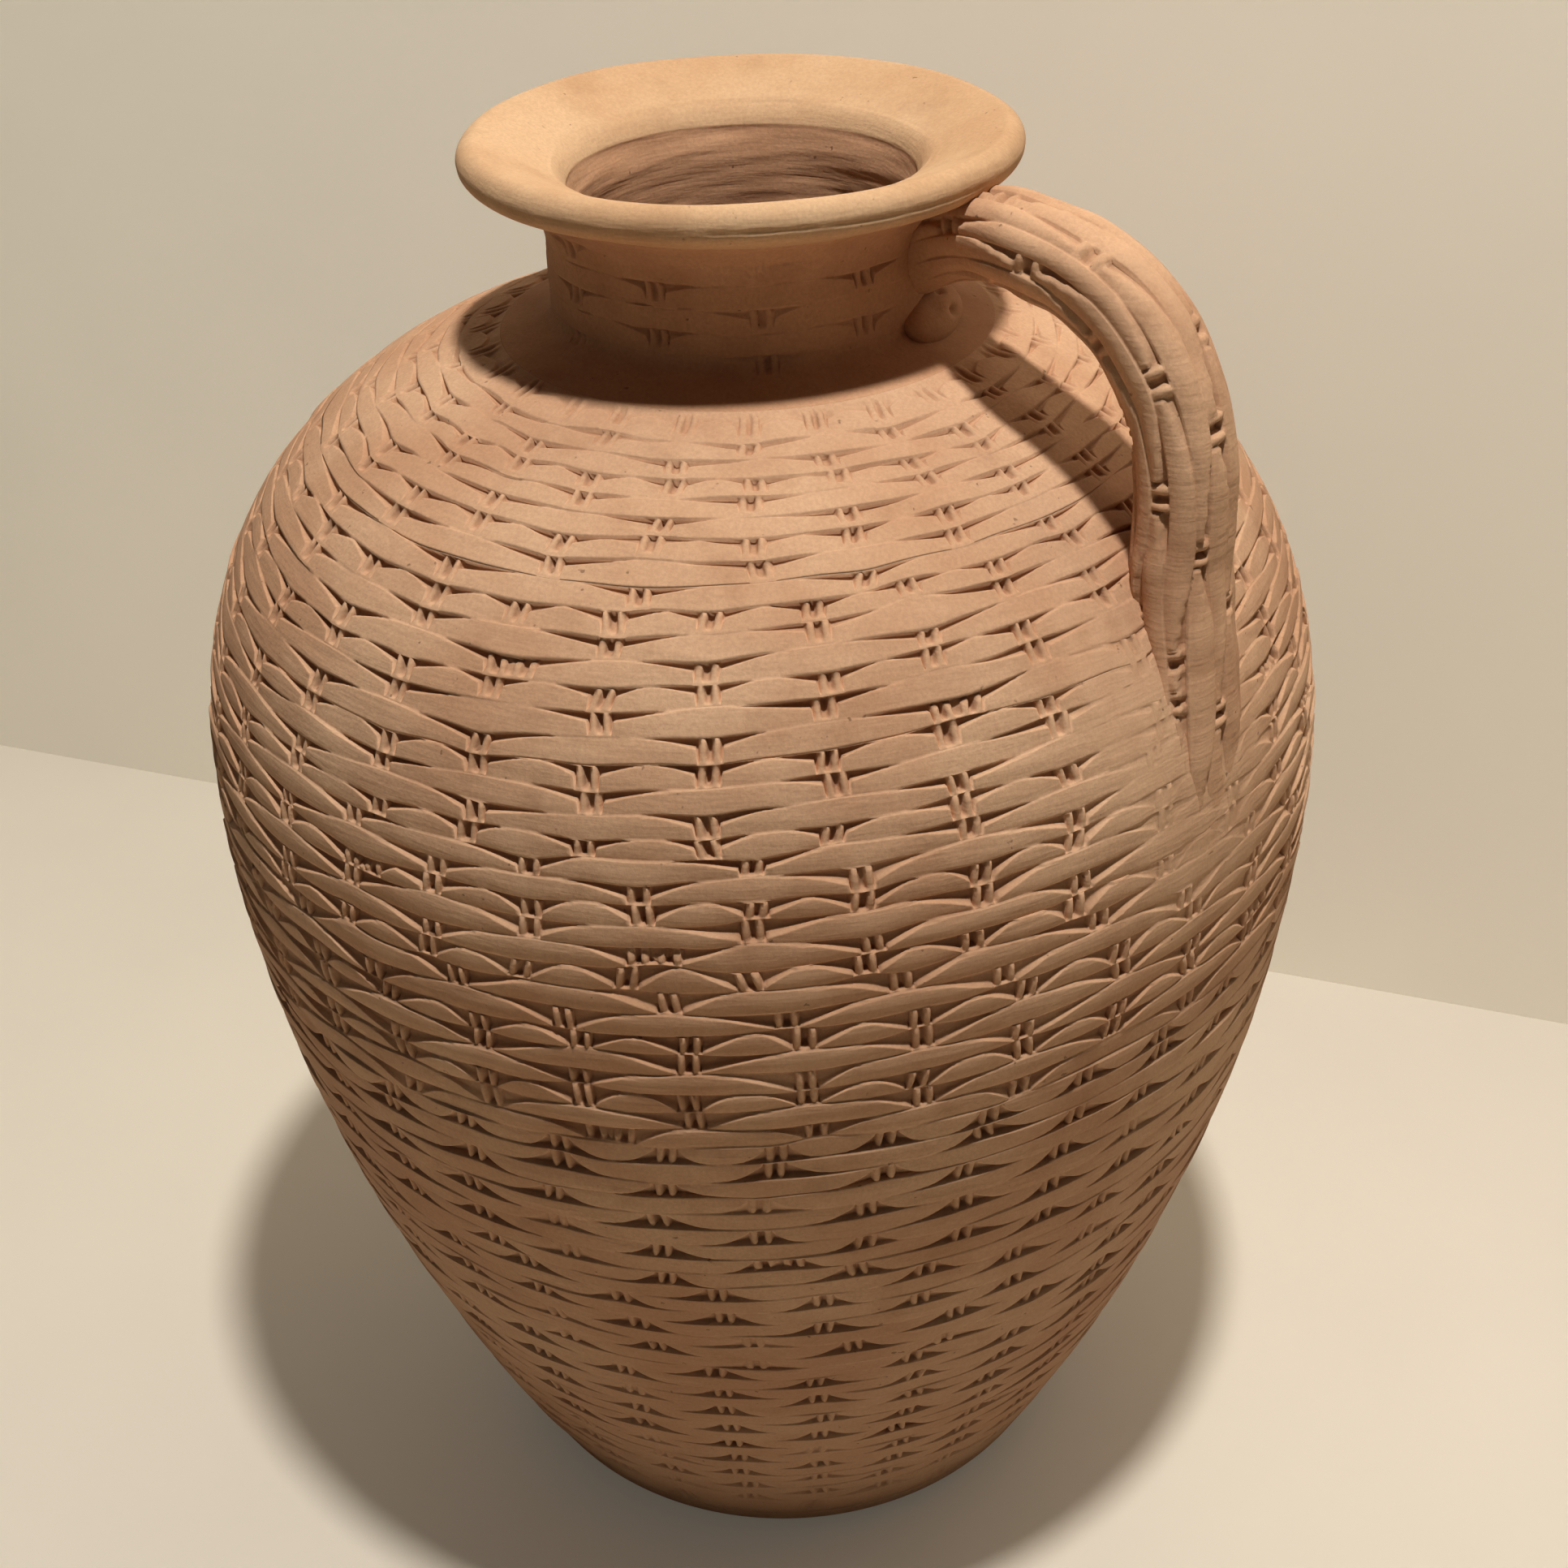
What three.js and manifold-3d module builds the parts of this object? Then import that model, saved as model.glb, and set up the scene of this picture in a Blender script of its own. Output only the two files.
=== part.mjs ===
// Large hand-built earthenware jug with a basketweave skin and one pulled strap handle.
// Millimetres, +Z up. The origin is the centre of the flat underside, and the handle lies along +X.

import * as THREE from 'three';
import { mergeVertices } from 'three/addons/utils/BufferGeometryUtils.js';
import Module from 'manifold-3d';

const wasm = await Module();
wasm.setup();

// Body of the jug
const FOOT_RADIUS = 100;
const FOOT_EDGE_ROUND = 6;
const BELLY_RADIUS = 174;
const BELLY_HEIGHT = 266;
const LOWER_FULLNESS = 1.75;
const SHOULDER_RISE = 151;
const SHOULDER_SQUARENESS = 2.5;
const WALL_THICKNESS = 9;
const FLOOR_THICKNESS = 12;

// Where the coils of the wall are joined, as shares of the height below the widest ring and above it
const LOWER_SEAMS = [0.28, 0.51, 0.82];
const UPPER_SEAMS = [0.225, 0.56, 0.79];

// Basketweave stamped into the outside of the wall, in rows one above the other. One row in three is
// stamped in every column, and the two others in every second column, turn about.
const STAMP_COLUMNS = 36;
const STAMP_SWING = THREE.MathUtils.degToRad(-47.5);
const ROW_CYCLE = 3;
const ROW_PITCH = 6.8;
const STAMP_DEPTH = 2.2;
const FOOT_STAMP_DEPTH = 0.5;
const CROWN_STAMP_DEPTH = 0.9;
const ROW_LEAN = 0.7;
const LEDGE_HEIGHT = 0.8;

// Neck and lip
const MOUTH_RADIUS = 72.5;
const NECK_SEAT = 14.5;
const NECK_RADIUS = 57;
const NECK_HEIGHT = 42;
const NECK_FILLET_HEIGHT = 8;
const NECK_FILLET_TOE = 3.9;
const FLARE_HEIGHT = 15;
const FLARE_BEND = 5;
const FLARE_SPREAD = 9;
const LIP_RADIUS = 80;
const LIP_ROLL_RADIUS = 5.3;
const LIP_ROLL_FROM = THREE.MathUtils.degToRad(-72);
const LIP_RISE = 14.4;
const THROAT_DROP = 7;
const THROAT_BEND = 1.8;
const THROAT_EASE = 2.2;

// Handle, in the plane of +X
const HANDLE_ROOT_DROP = 14;
const HANDLE_CROWN_PULL = 19;
const HANDLE_REACH = 91.8;
const HANDLE_FALL = 60;
const HANDLE_LANDING_RISE = 30;
const HANDLE_LANDING_SINK = 6;
const HANDLE_DRIFT = 10.5;
const HANDLE_SWAY = 12.5;
const HANDLE_CURVE = {
  crownPull: 0.36,
  fallPull: 0.2,
  landPull: 0.42,
  landLean: 0.62,
  driftFrom: 0.45,
  swayTo: 0.24,
};
const STRAP_WIDTH = 29.5;
const STRAP_THICKNESS = 23.5;
const STRAP_SQUARENESS = 2.3;
const REED_COUNT = 13;
const REED_DEPTH = 1.4;
const TAIL_THICKNESS = 12;
const TAIL_FROM = 0.62;
const TAIL_SPREAD = 7;
const ROOT_LENGTH = 14;
const ROOT_TUCK = 6;
const ROOT_WIDTH = 22;
const ROOT_WIDENING = 45;
const ROOT_FLARE_WIDTH = 1;
const ROOT_FLARE_HEIGHT = 1;

// Smear of clay over the handle's landing
const PATCH_HALF_WIDTH = 38;
const PATCH_HALF_HEIGHT = 42;
const PATCH_RISE = 34;
const PATCH_SWING = THREE.MathUtils.degToRad(-6);
const PATCH_THICKNESS = 2.6;
const PATCH_EDGE = 0.8;

// Thumb-pressed dab under the handle's root
const PAD_HALF_WIDTH = 16.5;
const PAD_HALF_HEIGHT = 8.5;
const PAD_HALF_DEPTH = 6;
const PAD_TILT = THREE.MathUtils.degToRad(40);
const PAD_RISE = 7.5;
const PAD_SWING = THREE.MathUtils.degToRad(15.5);

// Clearance between pieces that are pressed together, how far a cutting solid runs past what it cuts,
// and how close two points are to count as one
const JOINT_GAP = 0.3;
const CUT_PAST = 1;
const SAME_POINT = 1e-4;

// Facets
const TURN_STEPS = 48;
const WALL_STEP = 17;
const HOLLOW_STEP = 34;
const DOME_STEP = THREE.MathUtils.degToRad(7.5);
const HOLLOW_DOME_STEP = THREE.MathUtils.degToRad(15);
const ARC_STEPS = 4;
const ROLL_STEPS = 6;
const THROAT_STEPS = 2;
const STRAP_STATIONS = 30;
const POINTS_PER_REED = 3;
const ROOT_STATIONS = 6;
const PATCH_RINGS = 5;
const PATCH_SPOKES = 28;
const PAD_STEPS = 20;

// Heights and radii that follow from the sizes above
const [footSeam, lowerSeam, bellySeam] = LOWER_SEAMS.map((share) => BELLY_HEIGHT * share);
const [shoulderSeam, upperSeam, crownSeam] = UPPER_SEAMS.map((share) => BELLY_HEIGHT + SHOULDER_RISE * share);
const neckFoot = domeHeight(MOUTH_RADIUS);
const neckTop = neckFoot + NECK_HEIGHT;
const lipTop = neckTop + LIP_RISE;
const boreRadius = NECK_RADIUS - WALL_THICKNESS;
const throatRadius = boreRadius + FLARE_SPREAD;
const throatFall = LIP_RISE - THROAT_DROP - THROAT_BEND;
const holeRadius = MOUTH_RADIUS - NECK_SEAT;

function domeHeight(radius) {
  const share = (radius / BELLY_RADIUS) ** SHOULDER_SQUARENESS;
  return BELLY_HEIGHT + SHOULDER_RISE * (1 - share) ** (1 / SHOULDER_SQUARENESS);
}

// Radius of the wall at a height: a power curve up to the belly, a squared dome above it.
// The inset moves the surface inwards, which gives the inner face of the wall.
function wallRadius(height, inset = 0) {
  if (height <= BELLY_HEIGHT) {
    const below = 1 - height / BELLY_HEIGHT;
    return BELLY_RADIUS - inset - (BELLY_RADIUS - FOOT_RADIUS) * below ** LOWER_FULLNESS;
  }
  const above = Math.min((height - BELLY_HEIGHT) / (SHOULDER_RISE - inset), 1);
  return (BELLY_RADIUS - inset) * (1 - above ** SHOULDER_SQUARENESS) ** (1 / SHOULDER_SQUARENESS);
}

function point(radius, height) {
  return new THREE.Vector2(radius, height);
}

// Even steps from one value to another, both ends included
function stepsBetween(first, last, count) {
  return Array.from({ length: count + 1 }, (_, i) => THREE.MathUtils.lerp(first, last, i / count));
}

// Points of a wall face between two heights: even in height up to the belly, even in turn over the dome
function wallPoints(low, high, inset = 0, step = WALL_STEP, domeStep = DOME_STEP) {
  const heights = [];
  const lowerTop = Math.min(high, BELLY_HEIGHT);
  if (low < lowerTop) {
    heights.push(...stepsBetween(low, lowerTop, Math.ceil((lowerTop - low) / step)));
  }
  if (high > BELLY_HEIGHT) {
    const rise = SHOULDER_RISE - inset;
    const turnAt = (height) => Math.asin(((height - BELLY_HEIGHT) / rise) ** (SHOULDER_SQUARENESS / 2));
    const [first, last] = [turnAt(Math.max(low, BELLY_HEIGHT)), turnAt(high)];
    const turns = stepsBetween(first, last, Math.ceil((last - first) / domeStep));
    const dome = turns.map((turn) => BELLY_HEIGHT + rise * Math.sin(turn) ** (2 / SHOULDER_SQUARENESS));
    heights.push(...dome.slice(heights.length ? 1 : 0));
  }
  return heights.map((height) => point(wallRadius(height, inset), height));
}

function curvePoints(curve, steps = ARC_STEPS) {
  return curve.getPoints(steps);
}

// A solid of revolution about Z. The profile runs from the axis to the axis, bottom first.
function turned(profile, steps = TURN_STEPS) {
  return new THREE.LatheGeometry(profile, steps).rotateX(Math.PI / 2);
}

function solidOf(geometry) {
  const bare = geometry.clone();
  bare.deleteAttribute('normal');
  bare.deleteAttribute('uv');
  const merged = mergeVertices(bare, SAME_POINT);
  const corners = merged.index.array;
  const kept = [];
  for (let i = 0; i < corners.length; i += 3) {
    const [a, b, c] = [corners[i], corners[i + 1], corners[i + 2]];
    if (a !== b && b !== c && c !== a) kept.push(a, b, c);
  }
  const vertProperties = merged.attributes.position.array;
  return new wasm.Manifold(new wasm.Mesh({ numProp: 3, vertProperties, triVerts: Uint32Array.from(kept) }));
}

function geometryOf(solid) {
  const mesh = solid.getMesh();
  const geometry = new THREE.BufferGeometry();
  geometry.setAttribute('position', new THREE.BufferAttribute(mesh.vertProperties, 3));
  geometry.setIndex(new THREE.BufferAttribute(mesh.triVerts, 1));
  geometry.computeVertexNormals();
  return geometry;
}

// How far two points lie from the upright axis, taken together
function reachOf(p, q) {
  return Math.hypot(p.x, p.y) + Math.hypot(q.x, q.y);
}

// A closed skin through rings of equal count, with a flat fan over each end. Each four-sided field is
// folded along the diagonal that stands out further from the axis, so hollows stay separate pits.
function lofted(rings) {
  const count = rings[0].length;
  const points = rings.flat();
  const positions = points.flatMap((p) => p.toArray());
  const index = [];
  for (let r = 0; r + 1 < rings.length; r += 1) {
    for (let i = 0; i < count; i += 1) {
      const [a, b] = [r * count + i, r * count + ((i + 1) % count)];
      const [d, c] = [a + count, b + count];
      const foldAlongAC = reachOf(points[a], points[c]) >= reachOf(points[b], points[d]);
      index.push(...(foldAlongAC ? [a, b, c, a, c, d] : [a, b, d, b, c, d]));
    }
  }
  const addFan = (ring, base, flip) => {
    const centre = positions.length / 3;
    const middle = new THREE.Vector3();
    ring.forEach((p) => middle.add(p));
    positions.push(...middle.divideScalar(count).toArray());
    for (let i = 0; i < count; i += 1) {
      const next = (i + 1) % count;
      index.push(centre, base + (flip ? next : i), base + (flip ? i : next));
    }
  };
  addFan(rings[0], 0, true);
  addFan(rings[rings.length - 1], (rings.length - 1) * count, false);
  const geometry = new THREE.BufferGeometry();
  geometry.setAttribute('position', new THREE.Float32BufferAttribute(positions, 3));
  geometry.setIndex(index);
  return geometry;
}

// Floor: a round slab with a rounded lower edge
function floorSlab() {
  const edge = new THREE.QuadraticBezierCurve(
    point(FOOT_RADIUS - FOOT_EDGE_ROUND, 0),
    point(FOOT_RADIUS, 0),
    point(wallRadius(FOOT_EDGE_ROUND), FOOT_EDGE_ROUND),
  );
  const rim = point(wallRadius(FLOOR_THICKNESS), FLOOR_THICKNESS);
  return turned([point(0, 0), ...curvePoints(edge), rim, point(0, FLOOR_THICKNESS)]);
}

function rowCount(low, high) {
  return Math.max(Math.round(new THREE.SplineCurve(wallPoints(low, high)).getLength() / ROW_PITCH), 1);
}

// Depth of a stamp: full over the belly and shoulder, fainter towards the foot and the neck
function stampDepth(height) {
  const rising = THREE.MathUtils.smoothstep(height, FLOOR_THICKNESS, bellySeam);
  const closing = THREE.MathUtils.smoothstep(height, upperSeam, neckFoot);
  const lower = THREE.MathUtils.lerp(FOOT_STAMP_DEPTH, STAMP_DEPTH, rising);
  return THREE.MathUtils.lerp(lower, CROWN_STAMP_DEPTH, closing);
}

// Rows are counted from the foot up
function isStamped(row, column) {
  const turn = row % ROW_CYCLE;
  return turn === ROW_CYCLE - 1 || column % 2 === turn;
}

// A level ring with one point for each column, pressed in by the depth that is given for the column
function columnRing(outline, share, depthOf) {
  const place = outline.getPointAt(share);
  const tangent = outline.getTangentAt(share);
  const atSeam = share === 0 || share === 1;
  const inward = atSeam ? point(-1, 0) : point(-tangent.y, tangent.x);
  return Array.from({ length: STAMP_COLUMNS }, (_, column) => {
    const turn = STAMP_SWING + (2 * Math.PI * column) / STAMP_COLUMNS;
    const pressed = place.clone().addScaledVector(inward, depthOf(column, place.y));
    return new THREE.Vector3(pressed.x * Math.cos(turn), pressed.x * Math.sin(turn), pressed.y);
  });
}

// Outside of one coil. A ledged row leans back from its upper edge to its lower edge, so that each row
// stands out over the row above; a plain row has one ring of points, at its upper edge.
function wovenSkin(low, high, ledged) {
  const outline = new THREE.SplineCurve(wallPoints(low, high));
  const firstRow = rowsBelow(low);
  const rows = rowCount(low, high);
  const ledge = LEDGE_HEIGHT / outline.getLength();
  const lean = ledged ? ROW_LEAN : 0;
  const rings = [columnRing(outline, 0, () => lean)];
  for (let row = 0; row < rows; row += 1) {
    const stamped = (column, height) => (isStamped(firstRow + row, column) ? stampDepth(height) : 0);
    if (ledged && row > 0) rings.push(columnRing(outline, row / rows + ledge, () => lean));
    rings.push(columnRing(outline, (row + 1) / rows, stamped));
  }
  return solidOf(lofted(rings));
}

// The hollow inside a coil, run past both of its ends
function coilHollow(low, high) {
  const hollow = wallPoints(low, high, WALL_THICKNESS, HOLLOW_STEP, HOLLOW_DOME_STEP);
  hollow[0].y -= CUT_PAST;
  hollow[hollow.length - 1].y += CUT_PAST;
  const bottom = point(0, hollow[0].y);
  const top = point(0, hollow[hollow.length - 1].y);
  return solidOf(turned([bottom, ...hollow, top], STAMP_COLUMNS));
}

// The last coil closes in to the hole that the neck stands round
function crownHollow() {
  const hollowTop = Math.min(innerDomeHeight(holeRadius), neckFoot);
  const hollow = wallPoints(crownSeam, hollowTop, WALL_THICKNESS, HOLLOW_STEP, HOLLOW_DOME_STEP);
  hollow[0].y -= CUT_PAST;
  const past = neckFoot + CUT_PAST;
  const hole = [point(holeRadius, past), point(0, past)];
  return solidOf(turned([point(0, hollow[0].y), ...hollow, ...hole], STAMP_COLUMNS));
}

// Number of woven rows in the coils below a seam
function rowsBelow(height) {
  const seams = [FLOOR_THICKNESS, footSeam, lowerSeam, bellySeam, shoulderSeam, upperSeam, crownSeam];
  const below = seams.filter((seam) => seam <= height);
  return below.slice(1).reduce((sum, seam, i) => sum + rowCount(below[i], seam), 0);
}

// One coil of the wall. The rows are ledged where the relief is deepest, over the belly and shoulder.
function wallCoil(low, high) {
  const ledged = low >= bellySeam && high <= upperSeam;
  const hollow = high === neckFoot ? crownHollow() : coilHollow(low, high);
  return geometryOf(wovenSkin(low, high, ledged).subtract(hollow));
}

function innerDomeHeight(radius) {
  const share = (radius / (BELLY_RADIUS - WALL_THICKNESS)) ** SHOULDER_SQUARENESS;
  const rise = (SHOULDER_RISE - WALL_THICKNESS) * (1 - share) ** (1 / SHOULDER_SQUARENESS);
  return BELLY_HEIGHT + rise;
}

// Outer face of the neck: a fillet off the shoulder, an upright run and a flare to the lip
function neckFace(offset = 0) {
  const fillet = new THREE.QuadraticBezierCurve(
    point(MOUTH_RADIUS + offset, neckFoot),
    point(NECK_RADIUS + offset, neckFoot + NECK_FILLET_TOE),
    point(NECK_RADIUS + offset, neckFoot + NECK_FILLET_HEIGHT),
  );
  const flare = new THREE.QuadraticBezierCurve(
    point(NECK_RADIUS + offset, neckTop - FLARE_HEIGHT),
    point(NECK_RADIUS + offset, neckTop - FLARE_BEND),
    point(NECK_RADIUS + FLARE_SPREAD + offset, neckTop),
  );
  return [...curvePoints(fillet), ...curvePoints(flare)];
}

// The bore opens a little at its top, where the throat of the lip runs into it
function neckCollar() {
  const opening = new THREE.QuadraticBezierCurve(
    point(boreRadius + THROAT_EASE, neckTop),
    point(boreRadius, neckTop - throatFall),
    point(boreRadius, neckTop - 2 * throatFall),
  );
  const face = neckFace();
  const bore = [...curvePoints(opening, THROAT_STEPS), point(boreRadius, neckFoot)];
  return turned([...face, ...bore, face[0].clone()]);
}

// Outer face of the lip: the flare runs out under the roll and round it to the top
function lipFace(offset = 0) {
  const roll = LIP_ROLL_RADIUS + offset;
  const centre = point(LIP_RADIUS - LIP_ROLL_RADIUS, lipTop - LIP_ROLL_RADIUS);
  const under = point(NECK_RADIUS + FLARE_SPREAD + offset, neckTop);
  const around = new THREE.EllipseCurve(centre.x, centre.y, roll, roll, LIP_ROLL_FROM, Math.PI / 2);
  return [under, ...curvePoints(around, ROLL_STEPS)];
}

// The lip's upper face slopes in to the throat and turns down into the bore
function lipCoil() {
  const throat = new THREE.QuadraticBezierCurve(
    point(throatRadius, lipTop - THROAT_DROP),
    point(boreRadius + 2 * THROAT_EASE, neckTop + throatFall),
    point(boreRadius + THROAT_EASE, neckTop),
  );
  const face = lipFace();
  return turned([...face, ...curvePoints(throat, THROAT_STEPS), face[0].clone()]);
}

// The outside of the jug's body, pushed out by an offset: it trims what is pressed against the wall
function bodyEnvelope(offset) {
  const wall = wallPoints(FLOOR_THICKNESS, neckFoot).map((p) => point(p.x + offset, p.y + offset));
  const top = point(0, neckFoot + offset);
  return solidOf(turned([point(0, FLOOR_THICKNESS + offset), ...wall, top]));
}

// The outside of the neck and lip, pushed out by an offset
function neckEnvelope(offset) {
  const face = [...neckFace(offset), ...lipFace(offset)];
  const top = point(0, face[face.length - 1].y);
  return solidOf(turned([point(0, neckFoot), ...face, top]));
}

// Centre line of the handle in the XZ plane: off the neck, over the crown, down to the shoulder
function handleLine() {
  const rootHeight = neckTop - HANDLE_ROOT_DROP;
  const landingHeight = BELLY_HEIGHT + HANDLE_LANDING_RISE;
  const reach = NECK_RADIUS + HANDLE_REACH;
  const turnHeight = rootHeight - HANDLE_FALL;
  const crown = rootHeight + HANDLE_CROWN_PULL;
  const fall = turnHeight - landingHeight;
  const landing = wallRadius(landingHeight) - HANDLE_LANDING_SINK;
  const leanX = THREE.MathUtils.lerp(reach, landing, HANDLE_CURVE.landLean);
  const over = new THREE.CubicBezierCurve(
    point(NECK_RADIUS, rootHeight),
    point(NECK_RADIUS + HANDLE_REACH * HANDLE_CURVE.crownPull, crown),
    point(reach, crown),
    point(reach, turnHeight),
  );
  const down = new THREE.CubicBezierCurve(
    point(reach, turnHeight),
    point(reach, turnHeight - fall * HANDLE_CURVE.fallPull),
    point(leanX, turnHeight - fall * HANDLE_CURVE.landPull),
    point(landing, landingHeight),
  );
  const line = new THREE.CurvePath();
  line.add(over);
  line.add(down);
  return line;
}

const handleLineCurve = handleLine();
const handleLength = handleLineCurve.getLength();

// From 0 to 1 over the lower part of the handle, where it leans over and spreads
function lowerShare(share) {
  return THREE.MathUtils.smoothstep(share, HANDLE_CURVE.driftFrom, 1);
}

// A ring of the handle at a distance along its centre line
function handleRing(distance, width, thickness, reedDepth) {
  const share = THREE.MathUtils.clamp(distance / handleLength, 0, 1);
  const centre = handleLineCurve.getPointAt(share);
  const tangent = handleLineCurve.getTangentAt(share);
  centre.addScaledVector(tangent, distance - share * handleLength);
  const outward = point(-tangent.y, tangent.x);
  const sway = HANDLE_SWAY * (1 - THREE.MathUtils.smoothstep(share, 0, HANDLE_CURVE.swayTo));
  const drift = HANDLE_DRIFT * lowerShare(share) - sway;
  const count = REED_COUNT * POINTS_PER_REED;
  return Array.from({ length: count }, (_, i) => {
    const angle = (2 * Math.PI * i) / count;
    const [c, s] = [Math.cos(angle), Math.sin(angle)];
    const spread = Math.abs(c) ** STRAP_SQUARENESS + Math.abs(s) ** STRAP_SQUARENESS;
    const fullness = spread ** (1 / STRAP_SQUARENESS);
    const groove = reedDepth * (1 - Math.abs(Math.sin((REED_COUNT * angle) / 2)));
    const side = (c / fullness) * (width / 2 - groove);
    const out = (s / fullness) * (thickness / 2 - groove);
    return new THREE.Vector3(centre.x + outward.x * out, side - drift, centre.y + outward.y * out);
  });
}

// The strap is narrow where it leaves the neck and widens to its full width, and its tail spreads
function strapWidth(distance) {
  const widening = THREE.MathUtils.smoothstep(distance, 0, ROOT_WIDENING);
  const spread = TAIL_SPREAD * lowerShare(distance / handleLength);
  return THREE.MathUtils.lerp(ROOT_WIDTH, STRAP_WIDTH, widening) + spread;
}

// Plug of clay on the neck: it spreads a little where it meets the neck
function handleRoot() {
  const start = -ROOT_TUCK;
  const rings = Array.from({ length: ROOT_STATIONS + 1 }, (_, i) => {
    const distance = THREE.MathUtils.lerp(start, ROOT_LENGTH, i / ROOT_STATIONS);
    const flare = (1 - Math.max(distance, 0) / ROOT_LENGTH) ** 2;
    const width = strapWidth(distance) + ROOT_FLARE_WIDTH * flare;
    const thickness = STRAP_THICKNESS + ROOT_FLARE_HEIGHT * flare;
    return handleRing(distance, width, thickness, REED_DEPTH * (1 - flare));
  });
  const plug = solidOf(lofted(rings)).subtract(neckEnvelope(JOINT_GAP));
  return geometryOf(plug.subtract(bodyEnvelope(JOINT_GAP)));
}

// The pulled strap: reeded along its length, thinner where the tail is smeared on the shoulder
function handleStrap() {
  const start = ROOT_LENGTH + JOINT_GAP;
  const rings = Array.from({ length: STRAP_STATIONS + 1 }, (_, i) => {
    const distance = THREE.MathUtils.lerp(start, handleLength, i / STRAP_STATIONS);
    const tail = THREE.MathUtils.smoothstep(distance / handleLength, TAIL_FROM, 1);
    const thickness = THREE.MathUtils.lerp(STRAP_THICKNESS, TAIL_THICKNESS, tail);
    return handleRing(distance, strapWidth(distance), thickness, REED_DEPTH * (1 - tail));
  });
  const strap = solidOf(lofted(rings)).subtract(neckEnvelope(JOINT_GAP));
  return geometryOf(strap.subtract(bodyEnvelope(2 * JOINT_GAP + PATCH_THICKNESS)));
}

// Smear of clay on the shoulder under the handle's tail: an oval skin, thickest in the middle
function tailPatch() {
  const middle = BELLY_HEIGHT + HANDLE_LANDING_RISE + PATCH_RISE;
  const skinPoint = (share, spoke, lift) => {
    const angle = (2 * Math.PI * spoke) / PATCH_SPOKES;
    const height = middle + PATCH_HALF_HEIGHT * share * Math.sin(angle);
    const radius = wallRadius(height);
    const turn = PATCH_SWING + (PATCH_HALF_WIDTH * share * Math.cos(angle)) / radius;
    const out = radius + JOINT_GAP + lift;
    return new THREE.Vector3(out * Math.cos(turn), out * Math.sin(turn), height);
  };
  const ring = (share, lift) =>
    Array.from({ length: PATCH_SPOKES }, (_, spoke) => skinPoint(share, spoke, lift));
  const under = [];
  const over = [];
  for (let i = 1; i <= PATCH_RINGS; i += 1) {
    const share = i / PATCH_RINGS;
    const lift = PATCH_EDGE + (PATCH_THICKNESS - PATCH_EDGE) * (1 - share * share);
    under.push(ring(share, 0));
    over.push(ring(share, lift));
  }
  return lofted([...under, ...over.reverse()]);
}

// Dab of clay in the corner between neck and shoulder, below the root
function thumbPad() {
  const pad = new THREE.SphereGeometry(1, PAD_STEPS, PAD_STEPS / 2);
  pad.scale(PAD_HALF_DEPTH, PAD_HALF_WIDTH, PAD_HALF_HEIGHT);
  pad.rotateY(-PAD_TILT);
  pad.translate(NECK_RADIUS + JOINT_GAP, 0, neckFoot + PAD_RISE);
  pad.rotateZ(PAD_SWING);
  const dab = solidOf(pad).subtract(neckEnvelope(JOINT_GAP));
  return geometryOf(dab.subtract(bodyEnvelope(JOINT_GAP)));
}

function clayPiece(name, geometry, colour) {
  const material = new THREE.MeshStandardMaterial({ color: colour, roughness: 0.92, metalness: 0 });
  const mesh = new THREE.Mesh(geometry, material);
  mesh.name = name;
  return mesh;
}

const group = new THREE.Group();
group.name = 'basketweave_jug';
group.add(
  clayPiece('floor_slab', floorSlab(), 0x9c7454),
  clayPiece('foot_wall', wallCoil(FLOOR_THICKNESS, footSeam), 0xa87f5f),
  clayPiece('lower_wall', wallCoil(footSeam, lowerSeam), 0xab8262),
  clayPiece('belly_wall', wallCoil(lowerSeam, bellySeam), 0xb28866),
  clayPiece('upper_belly_wall', wallCoil(bellySeam, shoulderSeam), 0xb88d6a),
  clayPiece('shoulder_wall', wallCoil(shoulderSeam, upperSeam), 0xbf936f),
  clayPiece('upper_shoulder_wall', wallCoil(upperSeam, crownSeam), 0xc29671),
  clayPiece('crown_wall', wallCoil(crownSeam, neckFoot), 0xc49873),
  clayPiece('neck_collar', neckCollar(), 0xb88c69),
  clayPiece('lip_coil', lipCoil(), 0xcb9f78),
  clayPiece('handle_root', handleRoot(), 0xb98e6c),
  clayPiece('handle_strap', handleStrap(), 0xb88d6b),
  clayPiece('tail_patch', tailPatch(), 0xbf9470),
  clayPiece('thumb_pad', thumbPad(), 0xb48963),
);

export default group;
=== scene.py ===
"""Looks of a large hand-built earthenware jug with a basketweave skin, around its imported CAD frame.

Shapes are worked out in millimetres in the part's frame and go into the meshes in metres.
An azimuth is an angle in degrees from the side that the photograph was taken from; the handle's is 50.
"""

import math

import bpy
import numpy as np
from mathutils import Matrix, Vector


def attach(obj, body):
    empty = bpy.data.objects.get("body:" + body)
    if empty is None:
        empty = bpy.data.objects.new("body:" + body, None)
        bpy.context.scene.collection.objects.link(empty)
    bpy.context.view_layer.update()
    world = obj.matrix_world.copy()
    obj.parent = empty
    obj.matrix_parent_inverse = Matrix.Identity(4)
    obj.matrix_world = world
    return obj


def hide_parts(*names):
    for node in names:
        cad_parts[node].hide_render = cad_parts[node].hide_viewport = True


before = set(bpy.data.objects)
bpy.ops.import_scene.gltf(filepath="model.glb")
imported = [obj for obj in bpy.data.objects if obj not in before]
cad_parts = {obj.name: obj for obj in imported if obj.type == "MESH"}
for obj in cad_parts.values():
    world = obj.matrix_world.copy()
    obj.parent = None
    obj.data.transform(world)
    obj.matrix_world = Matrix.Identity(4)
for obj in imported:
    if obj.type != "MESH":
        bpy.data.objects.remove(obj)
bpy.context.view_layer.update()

MM = 0.001
HANDLE_AZIMUTH = 50.0

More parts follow.
